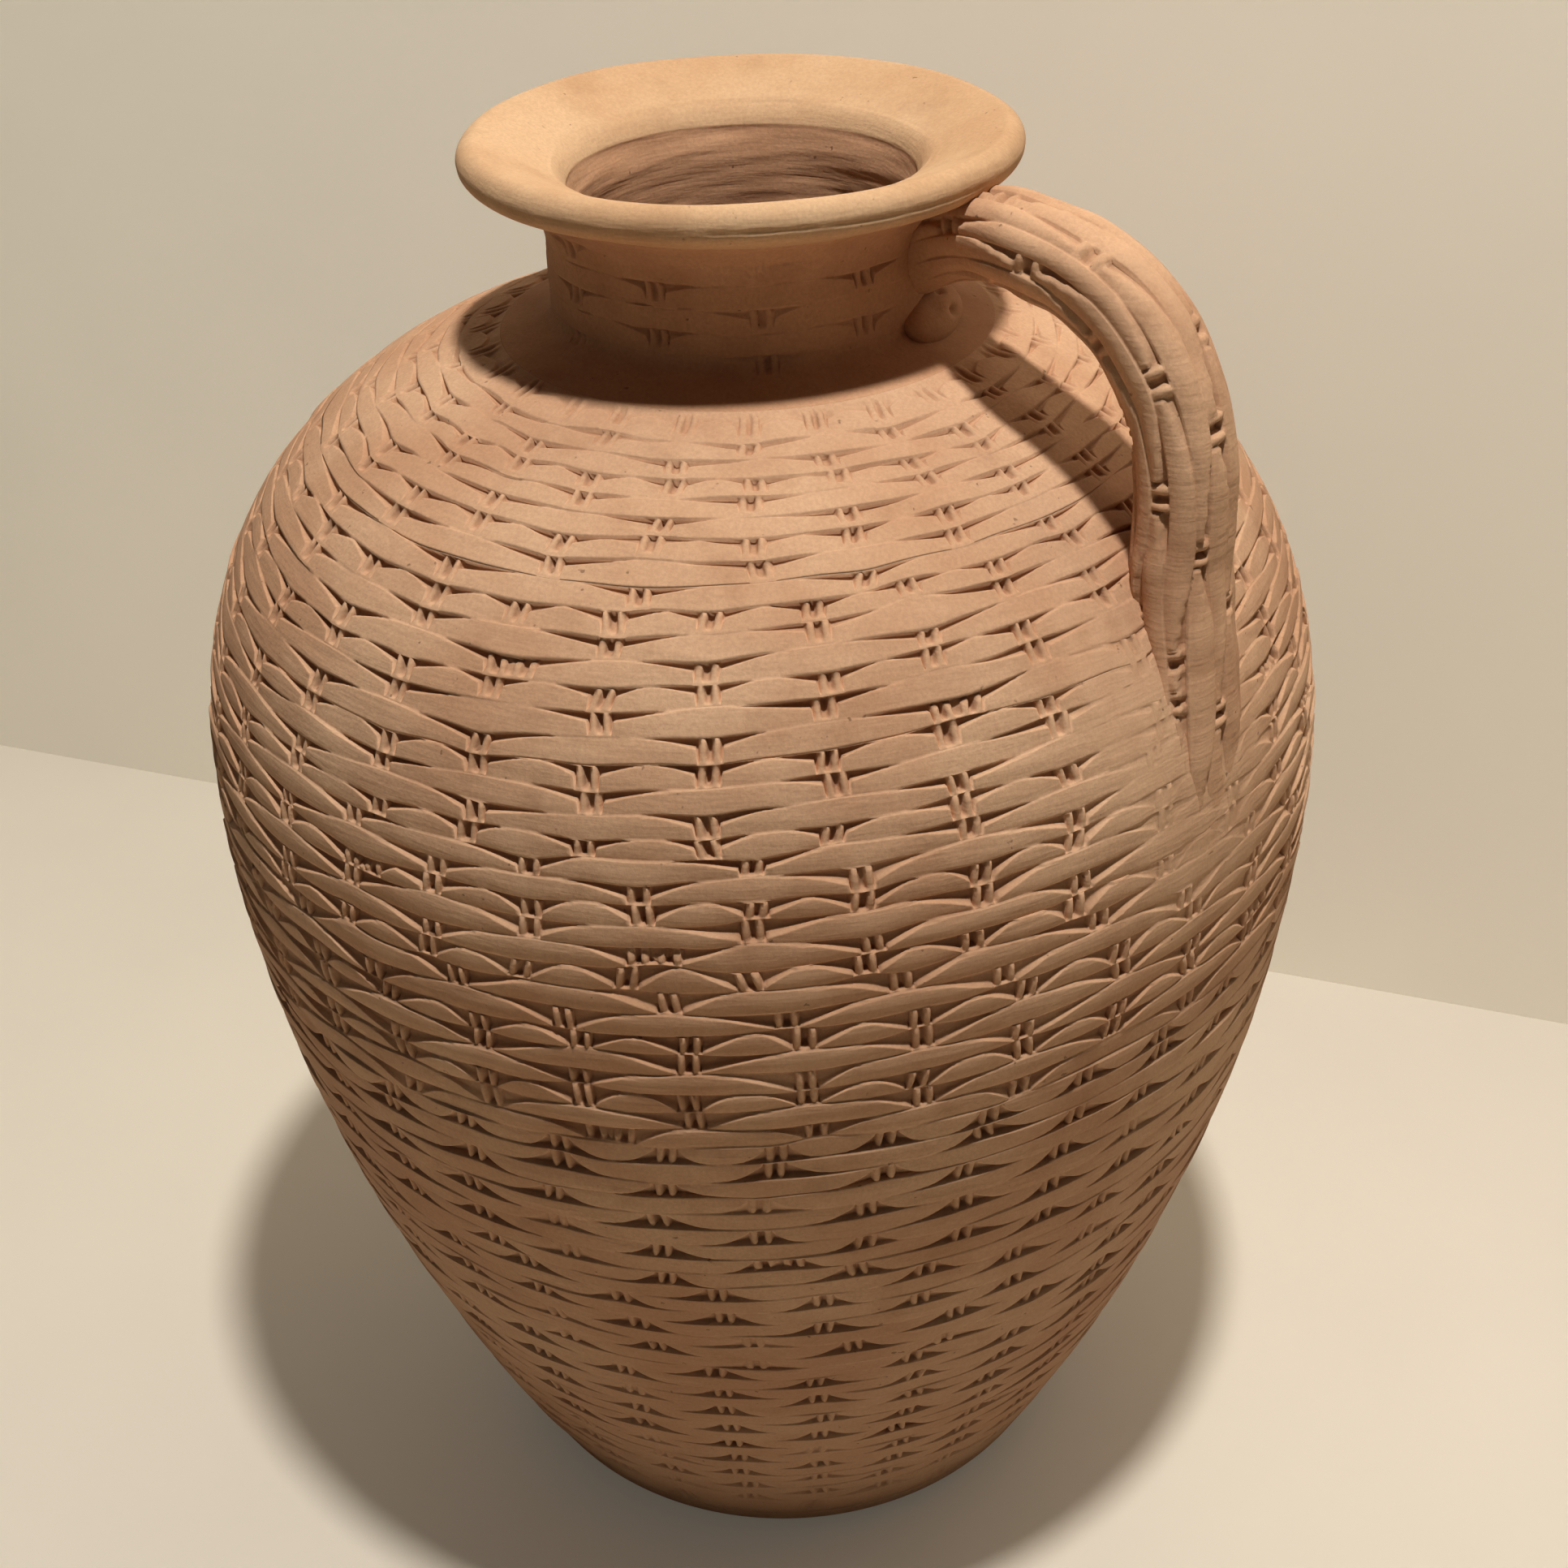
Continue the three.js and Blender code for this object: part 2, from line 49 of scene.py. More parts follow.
# Body of the jug, as in the CAD source
FOOT_RADIUS = 100.0
FOOT_EDGE_ROUND = 6.0
BELLY_RADIUS = 174.0
BELLY_HEIGHT = 266.0
LOWER_FULLNESS = 1.75
SHOULDER_RISE = 151.0
SHOULDER_SQUARENESS = 2.5
WALL_THICKNESS = 9.0
FLOOR_THICKNESS = 12.0
LOWER_SEAMS = (0.28, 0.51, 0.82)
UPPER_SEAMS = (0.225, 0.56, 0.79)
MOUTH_RADIUS = 72.5
NECK_SEAT = 14.5
NECK_RADIUS = 57.0
NECK_HEIGHT = 42.0
LIP_RADIUS = 80.0
LIP_RISE = 14.4
BORE_RADIUS = NECK_RADIUS - WALL_THICKNESS

random = np.random.RandomState(41)


def smoothstep(low, high, value):
    share = np.clip((value - low) / (high - low), 0.0, 1.0)
    return share * share * (3.0 - 2.0 * share)


def dome_height(radius):
    share = (radius / BELLY_RADIUS) ** SHOULDER_SQUARENESS
    return BELLY_HEIGHT + SHOULDER_RISE * (1.0 - share) ** (1.0 / SHOULDER_SQUARENESS)


def wall_radius(height, inset=0.0):
    height = np.asarray(height, float)
    below = np.clip(1.0 - height / BELLY_HEIGHT, 0.0, 1.0)
    lower = BELLY_RADIUS - inset - (BELLY_RADIUS - FOOT_RADIUS) * below**LOWER_FULLNESS
    above = np.clip((height - BELLY_HEIGHT) / (SHOULDER_RISE - inset), 0.0, 1.0)
    upper = (BELLY_RADIUS - inset) * (1.0 - above**SHOULDER_SQUARENESS) ** (1.0 / SHOULDER_SQUARENESS)
    return np.where(height <= BELLY_HEIGHT, lower, upper)


NECK_FOOT = dome_height(MOUTH_RADIUS)
NECK_TOP = NECK_FOOT + NECK_HEIGHT
LIP_TOP = NECK_TOP + LIP_RISE

OUTLINE_STEP = 0.4
UNEVEN_FADE = 40.0
DOME_POINTS, LOWER_POINTS = 600, 500


class Outline:
    """Half of a turned form, from the top down, by distance along it."""

    def __init__(self, r, z, wobble=1.0):
        along = np.concatenate([[0.0], np.cumsum(np.hypot(np.diff(r), np.diff(z)))])
        self.end = along[-1]
        self.s = np.linspace(0.0, self.end, int(self.end / OUTLINE_STEP) + 2)
        self.r = np.interp(self.s, along, r)
        self.z = np.interp(self.s, along, z)
        self.normal_r = -np.gradient(self.z, self.s)
        self.normal_z = np.gradient(self.r, self.s)
        self.wobble = wobble

    def s_at(self, height):
        return float(np.interp(-height, -self.z, self.s))

    def z_at(self, s):
        return np.interp(s, self.s, self.z)

    def r_at(self, s):
        return np.interp(s, self.s, self.r)

    def point(self, azimuth, s, lift):
        """Points at an azimuth in degrees and a distance down the outline, lifted off it."""
        turn = np.radians(azimuth - HANDLE_AZIMUTH)
        # Three waves round the form, about a millimetre together, that fade out at both its ends
        uneven = 0.5 * np.sin(2 * turn + 0.6) + 0.35 * np.sin(3 * turn + 2.0 + 0.01 * s)
        uneven += 0.3 * np.sin(5 * turn - 0.02 * s) * np.sin(0.03 * s)
        uneven *= smoothstep(0.0, UNEVEN_FADE, s) * smoothstep(self.end, self.end - UNEVEN_FADE, s)
        lift = lift + uneven * self.wobble
        r = self.r_at(s) + np.interp(s, self.s, self.normal_r) * lift
        z = self.z_at(s) + np.interp(s, self.s, self.normal_z) * lift
        return np.stack([r * np.cos(turn), r * np.sin(turn), z], -1)


def wall_outline():
    first = math.asin(((NECK_FOOT - BELLY_HEIGHT) / SHOULDER_RISE) ** (SHOULDER_SQUARENESS / 2))
    turns = np.linspace(first, 0.0, DOME_POINTS)
    dome_z = BELLY_HEIGHT + SHOULDER_RISE * np.sin(turns) ** (2 / SHOULDER_SQUARENESS)
    dome_r = BELLY_RADIUS * np.cos(turns) ** (2 / SHOULDER_SQUARENESS)
    low_z = np.linspace(BELLY_HEIGHT, FLOOR_THICKNESS, LOWER_POINTS)[1:]
    return Outline(np.concatenate([dome_r, wall_radius(low_z)]), np.concatenate([dome_z, low_z]))


WALL = wall_outline()


# Look of the stamped rows of the wall, given at some heights and running evenly between them.
# depth and reach are the hollow's depth and its length along the row, in mm; hollow and bar are the
# shares of the row's height that the hollow and the pair of bars take; flat and pair_flat are the shares
# of those with a flat bottom; curve is how fast the hollow tapers; shingle and bulge are how far the row
# leans and swells out, and arch and sag how far a stamp bends the row's shallow and deep edge, in mm.
HEIGHTS = (410, 398, 385, 365, 345, 330, 315, 295, 262, 248, 242, 200, 150, 90, 55, 35, 20)
LOOK_BY_HEIGHT = {
    "depth": (1.6, 2.0, 2.2, 2.3, 2.4, 2.5, 2.5, 2.5, 2.5, 2.4, 2.1, 2.0, 2.0, 1.9, 1.6, 1.2, 0.5),
    "reach": (14, 16, 16, 16, 16, 16, 18, 20, 20, 18, 15, 13, 13, 12.5, 12, 11, 9),
    "hollow": (0.34, 0.36, 0.38, 0.4, 0.44, 0.52, 0.8, 0.97, 1, 1, 1, 0.95, 0.95, 0.95, 0.95, 0.9, 0.9),
    "bar": (0.8, 0.82, 0.88, 0.95, 1, 1, 1, 1, 1, 1, 1, 0.96, 0.96, 0.96, 0.95, 0.9, 0.9),
    "pair_flat": (0.4, 0.45, 0.5, 0.62, 0.75, 0.8, 0.84, 0.86, 0.86, 0.86, 0.8, 0.8, 0.8, 0.8, 0.8, 0.8, 0.8),
    "flat": (0.5, 0.5, 0.5, 0.5, 0.55, 0.6, 0.64, 0.68, 0.7, 0.7, 0.5, 0.35, 0.3, 0.3, 0.3, 0.3, 0.3),
    "curve": (1.1, 1.1, 1.1, 1.2, 1.3, 1.4, 1.6, 1.7, 1.7, 1.8, 2.0, 2.3, 2.3, 2.3, 2.2, 2.0, 2.0),
    "shingle": (0, 0, 0, 0.1, 0.3, 0.42, 0.5, 0.6, 0.6, 0.5, 0.25, 0.08, 0.03, 0, 0, 0, 0),
    "bulge": (0, 0, 0, 0.05, 0.15, 0.22, 0.35, 0.45, 0.45, 0.4, 0.2, 0.08, 0.05, 0.03, 0, 0, 0),
    "arch": (0, 0, 0.1, 0.4, 0.7, 0.8, 0.8, 0.8, 0.8, 0.7, 0.4, 0.3, 0.2, 0.2, 0.1, 0, 0),
    "sag": (0.3, 0.4, 0.5, 0.5, 0.5, 0.4, 0.3, 0.2, 0.2, 0.2, 0.3, 0.3, 0.3, 0.2, 0.1, 0, 0),
}
NECK_LOOK = {
    "depth": 1.3, "reach": 9.0, "hollow": 0.4, "bar": 0.8, "pair_flat": 0.6, "flat": 0.3, "curve": 1.1,
    "shingle": 0.0, "bulge": 0.0, "arch": 0.0, "sag": 0.2,
}
REED_LOOK = {
    "depth": 2.2, "reach": 16.0, "hollow": 0.55, "bar": 1.0, "pair_flat": 0.85, "flat": 0.6, "curve": 1.3,
    "shingle": 0.55, "bulge": 0.5, "arch": 0.5, "sag": 0.15,
}
# Below this height the hollows are deepest at the row's lower edge, above it at the upper one
REVERSED_BELOW = 242.0
FAINT_BELOW = 228.0

BAR_OFFSET = 1.9
BAR_HALF_WIDTH = 1.15
PAIR_HALF_WIDTH = 3.1
BAR_ROUNDNESS = 0.4
SLOT_DEEPER = 0.3
SLOT_HALF_WIDTH = 0.8
HOLLOW_FADE = 0.7
LEAST_HOLLOW = 1e-3
EDGE_BEND_REACH = 8.0
CLIFF = 0.1
LEAST_FOLD, MOST_FOLD = 0.14, 0.9
FOLD_SHARES = (0.0, 0.3, 0.6, 0.8, 0.93, 1.0)
REST_SHARES = (0.08, 0.3, 0.6, 0.88, 1.0)
FULL_ROW_REACH = 0.64

# How much one stamp differs from the next: lengths in mm, and shares of the row's own look
PLACE_SPREAD = 0.9
SHIFT_SPREAD = 0.45
LEAN_SPREAD = 0.1
STRENGTHS = (0.75, 1.12)
FAINT_STRENGTH = 0.4
REACHES = (0.7, 1.2)
BAR_RISES = (0.78, 0.98)
GAPS = (0.88, 1.12)
LUMP = (0.2, 4, 30)
OPEN_LUMP_LENGTH = 500.0
DOUBLE_SHARE = 0.025
DOUBLE_STEP = 8.2

# Columns of stamps in each band of rows: lowest height, number round the jug, azimuth of an even one
COLUMN_BANDS = (
    (383.0, 28, 12.5),
    (327.0, 32, 17.25),
    (302.0, 36, 8.3),
    (290.0, 36, 7.5),
    (281.0, 36, 0.5),
    (240.0, 36, 2.5),
    (222.0, 36, -1.0),
    (178.0, 36, -2.5),
    (152.0, 34, -7.0),
    (134.0, 32, -4.2),
    (0.0, 30, 3.4),
)

# Heights of the rows with a stamp in every column; two more rows lie between each of them and the next
FULL_ROWS = (365.6, 349.0, 332.2, 315.6, 296.4, 276.6, 256.6, 237.5)
UPPER_PITCH = 6.5
LOWER_PITCH = 6.9
FOOT_PITCH = 6.7
FOOT_PITCH_BELOW = 125.0
TOP_MARGIN = 5.0
BOTTOM_MARGIN = 8.0
EDGE_RIPPLE = (0.3, 3, 14)
FAINT_SHARE = 0.35
EDGE_FADE = 6.0

# Climb of the rows round the jug, in mm, and the heights between which it fades in and out
CLIMB_FROM, CLIMB_FULL_FROM, CLIMB_FULL_TO, CLIMB_TO = 108.0, 215.0, 366.0, 406.0
CLIMBS = (4.6, 2.2, 0.5)


def look_at(height):
    places = [-h for h in HEIGHTS]
    return {k: float(np.interp(-height, places, v)) for k, v in LOOK_BY_HEIGHT.items()}


def row_plan():
    """Rows from the top down: distance of each row's middle along the outline, and its columns."""
    full = [WALL.s_at(z) for z in FULL_ROWS]
    up = []
    s, kinds = full[0] - UPPER_PITCH, ("even", "odd", "both")
    while s - UPPER_PITCH / 2 > TOP_MARGIN:
        up.append((s, kinds[len(up) % 3]))
        s -= UPPER_PITCH
    rows = up[::-1]
    for a, b in zip(full, full[1:]):
        rows += [(a, "both"), (a + (b - a) / 3, "odd"), (a + 2 * (b - a) / 3, "even")]
    rows.append((full[-1], "both"))
    s = full[-1]
    while True:
        s += LOWER_PITCH if WALL.z_at(s) > FOOT_PITCH_BELOW else FOOT_PITCH
        if s > WALL.end - BOTTOM_MARGIN:
            return rows
        rows.append((s, "odd" if len(rows) % 2 else "even"))


def wander(azimuth, s):
    """How far a row at this distance climbs round the jug; rows rise to the photograph's right."""
    turn = np.radians(azimuth)
    z = WALL.z_at(s)
    share = smoothstep(CLIMB_FROM, CLIMB_FULL_FROM, z) * smoothstep(CLIMB_TO, CLIMB_FULL_TO, z)
    once, twice, thrice = CLIMBS
    return share * (once * np.sin(turn) + twice * np.sin(2 * turn) + thrice * np.sin(3 * turn + 1.0))


def waves(amplitude, lowest, highest, circle=360.0):
    """A closed wavy line, as a function of the place along it."""
    count = highest - lowest + 1
    sizes = random.normal(0.0, amplitude / math.sqrt(count), count)
    starts = random.uniform(0.0, 2 * math.pi, count)
    orders = np.arange(lowest, highest + 1)

    def value(place):
        turn = np.asarray(place, float)[..., None] * 2 * math.pi / circle
        return (sizes * np.sin(orders * turn + starts)).sum(-1)

    return value


class Stamps:
    """One row of stamps: two raised bars with a slot between them, and a tapering hollow on each side.

    A place is an azimuth in degrees on a turned form, and a length in mm on the handle.
    """

    def __init__(self, places, look, per_mm=1.0, circle=None, hinge_top=True, faint=0.0):
        self.per_mm = per_mm
        self.circle = circle
        self.hinge_top = hinge_top
        places = places + random.normal(0.0, PLACE_SPREAD, len(places)) * per_mm
        doubled = places[random.uniform(0, 1, len(places)) < DOUBLE_SHARE]
        self.places = np.concatenate([places, doubled + DOUBLE_STEP * per_mm])
        count = len(self.places)
        self.shift = random.normal(0.0, SHIFT_SPREAD, count)
        self.lean = random.normal(0.0, LEAN_SPREAD, count)
        self.strength = random.uniform(*STRENGTHS, count)
        self.strength *= np.where(random.uniform(0, 1, count) < faint, FAINT_STRENGTH, 1.0)
        self.reach_left = random.uniform(*REACHES, count)
        self.reach_right = random.uniform(*REACHES, count)
        self.bar_rise = random.uniform(*BAR_RISES, count)
        self.gap = random.uniform(*GAPS, count)
        self.lump = waves(*LUMP, circle or OPEN_LUMP_LENGTH)
        self.look = look

    def away(self, place):
        """Distance in mm from every stamp: one line per place, one column per stamp."""
        apart = place[:, None] - self.places[None, :]
        if self.circle:
            apart = (apart + self.circle / 2) % self.circle - self.circle / 2
        return apart / self.per_mm

    def edge_shift(self, place, top):
        """How far the stamps push the row's upper or lower edge down."""
        near = np.exp(-((self.away(place) / EDGE_BEND_REACH) ** 2))
        deep_edge = top == self.hinge_top
        bend = self.look["sag"] if deep_edge else self.look["arch"]
        return (near * self.shift).sum(1) + bend * near.sum(1) * (1 if top else -1)

    def around(self, place):
        """Distance from each stamp, how far out along its hollow that is, and the hollow's height."""
        look = self.look
        far = self.away(place)
        side = np.abs(far)
        reach = np.where(far < 0, self.reach_left, self.reach_right) * look["reach"]
        out = np.clip((side - PAIR_HALF_WIDTH) / reach, 0.0, 1.0)
        hollow = look["hollow"] * (1.0 - out) ** look["curve"]
        return side, out, np.where(side > PAIR_HALF_WIDTH, hollow, look["bar"])

    def fold(self, place):
        """Share of the row that the tallest hollow takes at each place, for rings that follow its rim."""
        return np.clip(self.around(place)[2].max(1), LEAST_FOLD, MOST_FOLD)

    def lift(self, place, share):
        """Height of the row's surface over the form; share runs from 0 at its upper edge to 1."""
        look = self.look
        side, out, height = self.around(place)
        down = np.reshape(share if self.hinge_top else 1.0 - share, (-1, 1))
        flat = np.where(side > PAIR_HALF_WIDTH, look["flat"], look["pair_flat"])
        hollow = 1.0 - smoothstep(flat, 1.0, down / np.maximum(height, LEAST_HOLLOW))
        bars = 1.0 - ((side - BAR_OFFSET * self.gap) / BAR_HALF_WIDTH) ** 2
        bars = np.clip(bars, 0.0, 1.0) ** BAR_ROUNDNESS
        slot = 1.0 + SLOT_DEEPER * np.exp(-((side / SLOT_HALF_WIDTH) ** 2))
        fade = (1.0 - out) ** HOLLOW_FADE
        cut = look["depth"] * self.strength * fade * hollow * slot * (1.0 - self.bar_rise * bars)
        swell = look["bulge"] * (1.0 - (2.0 * share - 1.0) ** 2)
        return swell + look["shingle"] * (0.5 - share) + self.lump(place) - cut.max(1)


# Where a row is sampled: distances in mm from the middle of a stamp, and the widest step between stamps
NEAR_STAMP = (
    0.4, 0.8, 1.0, 1.3, 1.6, 1.9, 2.2, 2.5, 2.8, 2.96, 3.08,
    3.6, 4.3, 5.2, 6.3, 7.6, 9.1, 10.8, 12.7, 15.0, 18.0,
)
WIDE_STEP = 4.0
LEAST_STEP = 0.5
LEAN_REACH = 5.0
SPLIT_AZIMUTH = 180.0


class Row:
    """A row of stamps round a turned form."""

    def __init__(self, form, s, kind, look, bands, hinge_top, faint):
        self.form, self.s = form, s
        z = float(form.z_at(s))
        band = next(b for b in bands if z >= b[0])
        first, stride = {"both": (0, 1), "even": (0, 2), "odd": (1, 2)}[kind]
        places = band[2] + 360.0 / band[1] * np.arange(first, band[1], stride)
        self.per_mm = 180.0 / (math.pi * float(form.r_at(s)))
        self.stamps = Stamps(places, look, self.per_mm, 360.0, hinge_top, faint)

    def columns(self):
        """Azimuths where the row is sampled: close together at each stamp and wider between stamps."""
        near = np.array([-d for d in reversed(NEAR_STAMP)] + [0.0] + list(NEAR_STAMP)) * self.per_mm
        centres = np.sort((self.stamps.places - SPLIT_AZIMUTH) % 360.0) + SPLIT_AZIMUTH
        after = np.append(centres[1:], centres[0] + 360.0)
        before = np.insert(centres[:-1], 0, centres[-1] - 360.0)
        margin = LEAST_STEP * self.per_mm
        found = []
        for here, last, following in zip(centres, before, after):
            low, high = (last + here) / 2, (here + following) / 2
            mine = here + near
            mine = mine[(mine > low + margin) & (mine < high - margin)]
            found.extend(mine)
            rest = 2 * (high - mine[-1])
            extra = int(rest / self.per_mm / WIDE_STEP)
            found.extend(mine[-1] + rest * np.arange(1, extra + 1) / (extra + 1))
        found = np.sort(np.array(found))
        far = self.stamps.away(found)
        nearest = np.abs(far).argmin(1)
        gap = far[np.arange(len(found)), nearest]
        return found, self.stamps.lean[nearest] * np.exp(-((gap / LEAN_REACH) ** 2)) * self.per_mm


# Smear round the handle's landing: middle across and in height, and half width and height, in mm
SMEAR_RADIUS = 160.0
PATCH = (-15.0, 321.0, 33.0, 44.0)
DRAG = (-44.0, 350.0, 15.0, 24.0)
DRAG_SHARE = 0.75
SMEARED_AWAY = 0.93
SMEAR_LIFT = 0.7
SMEAR_RIDGES = 0.25


def spot(across, z, place, power):
    """A soft spot that is 1 in its middle; a higher power gives it a flatter middle."""
    middle, height, half_width, half_height = place
    return np.exp(-(((across - middle) / half_width) ** power) - ((z - height) / half_height) ** power)


def smear(azimuth, z):
    """Share of the potter's smearing round the landing of the handle: 1 is quite smooth."""
    apart = (azimuth - HANDLE_AZIMUTH + 180.0) % 360.0 - 180.0
    across = apart * math.pi * SMEAR_RADIUS / 180.0
    return np.clip(spot(across, z, PATCH, 4) + DRAG_SHARE * spot(across, z, DRAG, 2), 0.0, 1.0)


# Rings whose angles are this close, in degrees, are joined by quads
SAME_ANGLE = 0.3


def unrolled(angles, start):
    """Angles of a closed ring, growing by a full turn from the one nearest to a start angle."""
    first = int(np.abs((angles - start + 180.0) % 360.0 - 180.0).argmin())
    order = np.roll(np.arange(len(angles)), -first)
    turned = angles[order]
    base = start + (turned[0] - start + 180.0) % 360.0 - 180.0
    return order, base + (turned - turned[0]) % 360.0


def zipper(upper, lower, upper_angles, lower_angles):
    """Triangles between two closed rings of vertex numbers, matched by angle."""
    order, a = unrolled(upper_angles, upper_angles[0])
    upper = upper[order]
    order, b = unrolled(lower_angles, upper_angles[0])
    lower = lower[order]
    a, b = np.append(a, a[0] + 360.0), np.append(b, b[0] + 360.0)
    upper, lower = np.append(upper, upper[0]).tolist(), np.append(lower, lower[0]).tolist()
    faces, i, j = [], 0, 0
    while i < len(a) - 1 or j < len(b) - 1:
        if j == len(b) - 1 or (i < len(a) - 1 and a[i + 1] <= b[j + 1]):
            faces.append((upper[i], lower[j], upper[i + 1]))
            i += 1
        else:
            faces.append((upper[i], lower[j], lower[j + 1]))
            j += 1
    return faces


class Skin:
    """Vertices and faces of one closed piece, gathered ring by ring from the top of its outside."""

    def __init__(self):
        self.points, self.marks, self.faces, self.flat = [], [], [], []
        self.count = 0
        self.last = self.angles = None

    def ring(self, points, angles, marks=None, flat=False):
        """Adds a ring and joins it to the one before."""
        numbers = np.arange(self.count, self.count + len(points))
        self.points.append(points)
        self.marks.append(np.zeros(len(points)) if marks is None else marks)
        self.count += len(points)
        self.join(numbers, angles, flat)

    def join(self, numbers, angles, flat=False):
        """Faces from the last ring to a ring of vertex numbers; flat ones aren't shaded smooth."""
        start = len(self.faces)
        if self.last is not None:
            if len(self.last) == len(numbers) and np.allclose(self.angles, angles, atol=SAME_ANGLE):
                a, b = self.last, np.roll(self.last, -1)
                self.faces += np.stack([a, numbers, np.roll(numbers, -1), b], 1).tolist()
            else:
                self.faces += zipper(self.last, numbers, self.angles, angles)
        if flat:
            self.flat.append((start, len(self.faces)))
        self.last, self.angles = numbers, angles

    def mesh(self, name):
        points, marks = np.concatenate(self.points), np.concatenate(self.marks)
        return make_mesh(name, points, self.faces, marks, self.flat)


def make_mesh(name, points, faces, marks, flat=()):
    """An object with each point's relief stored on it, for the clay's colour: painted shade in the hollows,
    and dust and painted highlight on the raised edges.
    """
    mesh = bpy.data.meshes.new(name)
    mesh.from_pydata((np.asarray(points) * MM).tolist(), [], faces)
    smooth = np.ones(len(mesh.polygons), bool)
    for start, end in flat:
        smooth[start:end] = False
    mesh.polygons.foreach_set("use_smooth", smooth)
    mark = mesh.attributes.new("relief", "FLOAT", "POINT")
    mark.data.foreach_set("value", np.asarray(marks, np.float32))
    mesh.update()
    piece = bpy.data.objects.new(name, mesh)
    bpy.context.scene.collection.objects.link(piece)
    return piece


EVEN_COUNT = 400
INNER_COUNT = 96
EVEN = np.linspace(0.0, 360.0, EVEN_COUNT, endpoint=False) + SPLIT_AZIMUTH
INNER = np.linspace(0.0, 360.0, INNER_COUNT, endpoint=False) + SPLIT_AZIMUTH
# A ring this close to a sharp rim keeps the rim's shading off the next faces
RIM_BAND = 0.12


def level_ring(radius, height, azimuth):
    """A level ring; the radius is one number, or one for each azimuth."""
    turn = np.radians(azimuth - HANDLE_AZIMUTH)
    return np.stack([radius * np.cos(turn), radius * np.sin(turn), np.full(len(turn), float(height))], -1)


def plain_ring(skin, form, s, lift=0.0):
    """An unstamped ring at one distance down a form."""
    skin.ring(form.point(EVEN, np.full(EVEN_COUNT, s), np.full(EVEN_COUNT, lift)), EVEN)


def stamped_rings(skin, row, edge_top, edge_bottom, pitch, soften=None):
    """Rings of one row between its edges, which are functions of the azimuth."""
    azimuth, leans = row.columns()
    upper, lower = edge_top(azimuth), edge_bottom(azimuth)
    end = row.form.end
    fold = row.stamps.fold(azimuth)
    downs = [fold * part for part in FOLD_SHARES] + [fold + (1.0 - fold) * part for part in REST_SHARES]
    shares = downs if row.stamps.hinge_top else [1.0 - down for down in reversed(downs)]
    for share in shares:
        turned = azimuth + leans * (0.5 - share) * pitch
        s = upper + (lower - upper) * share
        lift = row.stamps.lift(azimuth, share)
        if soften:
            lift = soften(lift, turned, s)
        lift *= smoothstep(0.0, EDGE_FADE, s) * smoothstep(end, end - EDGE_FADE, s)
        skin.ring(row.form.point(turned, s, lift), azimuth, lift)


def smeared(lift, azimuth, s):
    """A row's relief with the smear over it."""
    share = smear(azimuth, WALL.z_at(s))
    ridges = SMEAR_LIFT + SMEAR_RIDGES * np.sin(azimuth * 1.7 + s * 0.11) * np.sin(s * 0.19)
    return lift * (1.0 - SMEARED_AWAY * share) + ridges * share


INNER_RINGS = 6
WALL_NODES = (
    "crown_wall", "upper_shoulder_wall", "shoulder_wall", "upper_belly_wall", "belly_wall", "lower_wall",
    "foot_wall",
)


def inner_dome(radius):
    """Height of the wall's inside over the belly."""
    share = (radius / (BELLY_RADIUS - WALL_THICKNESS)) ** SHOULDER_SQUARENESS
    rise = (SHOULDER_RISE - WALL_THICKNESS) * (1.0 - share) ** (1.0 / SHOULDER_SQUARENESS)
    return BELLY_HEIGHT + rise


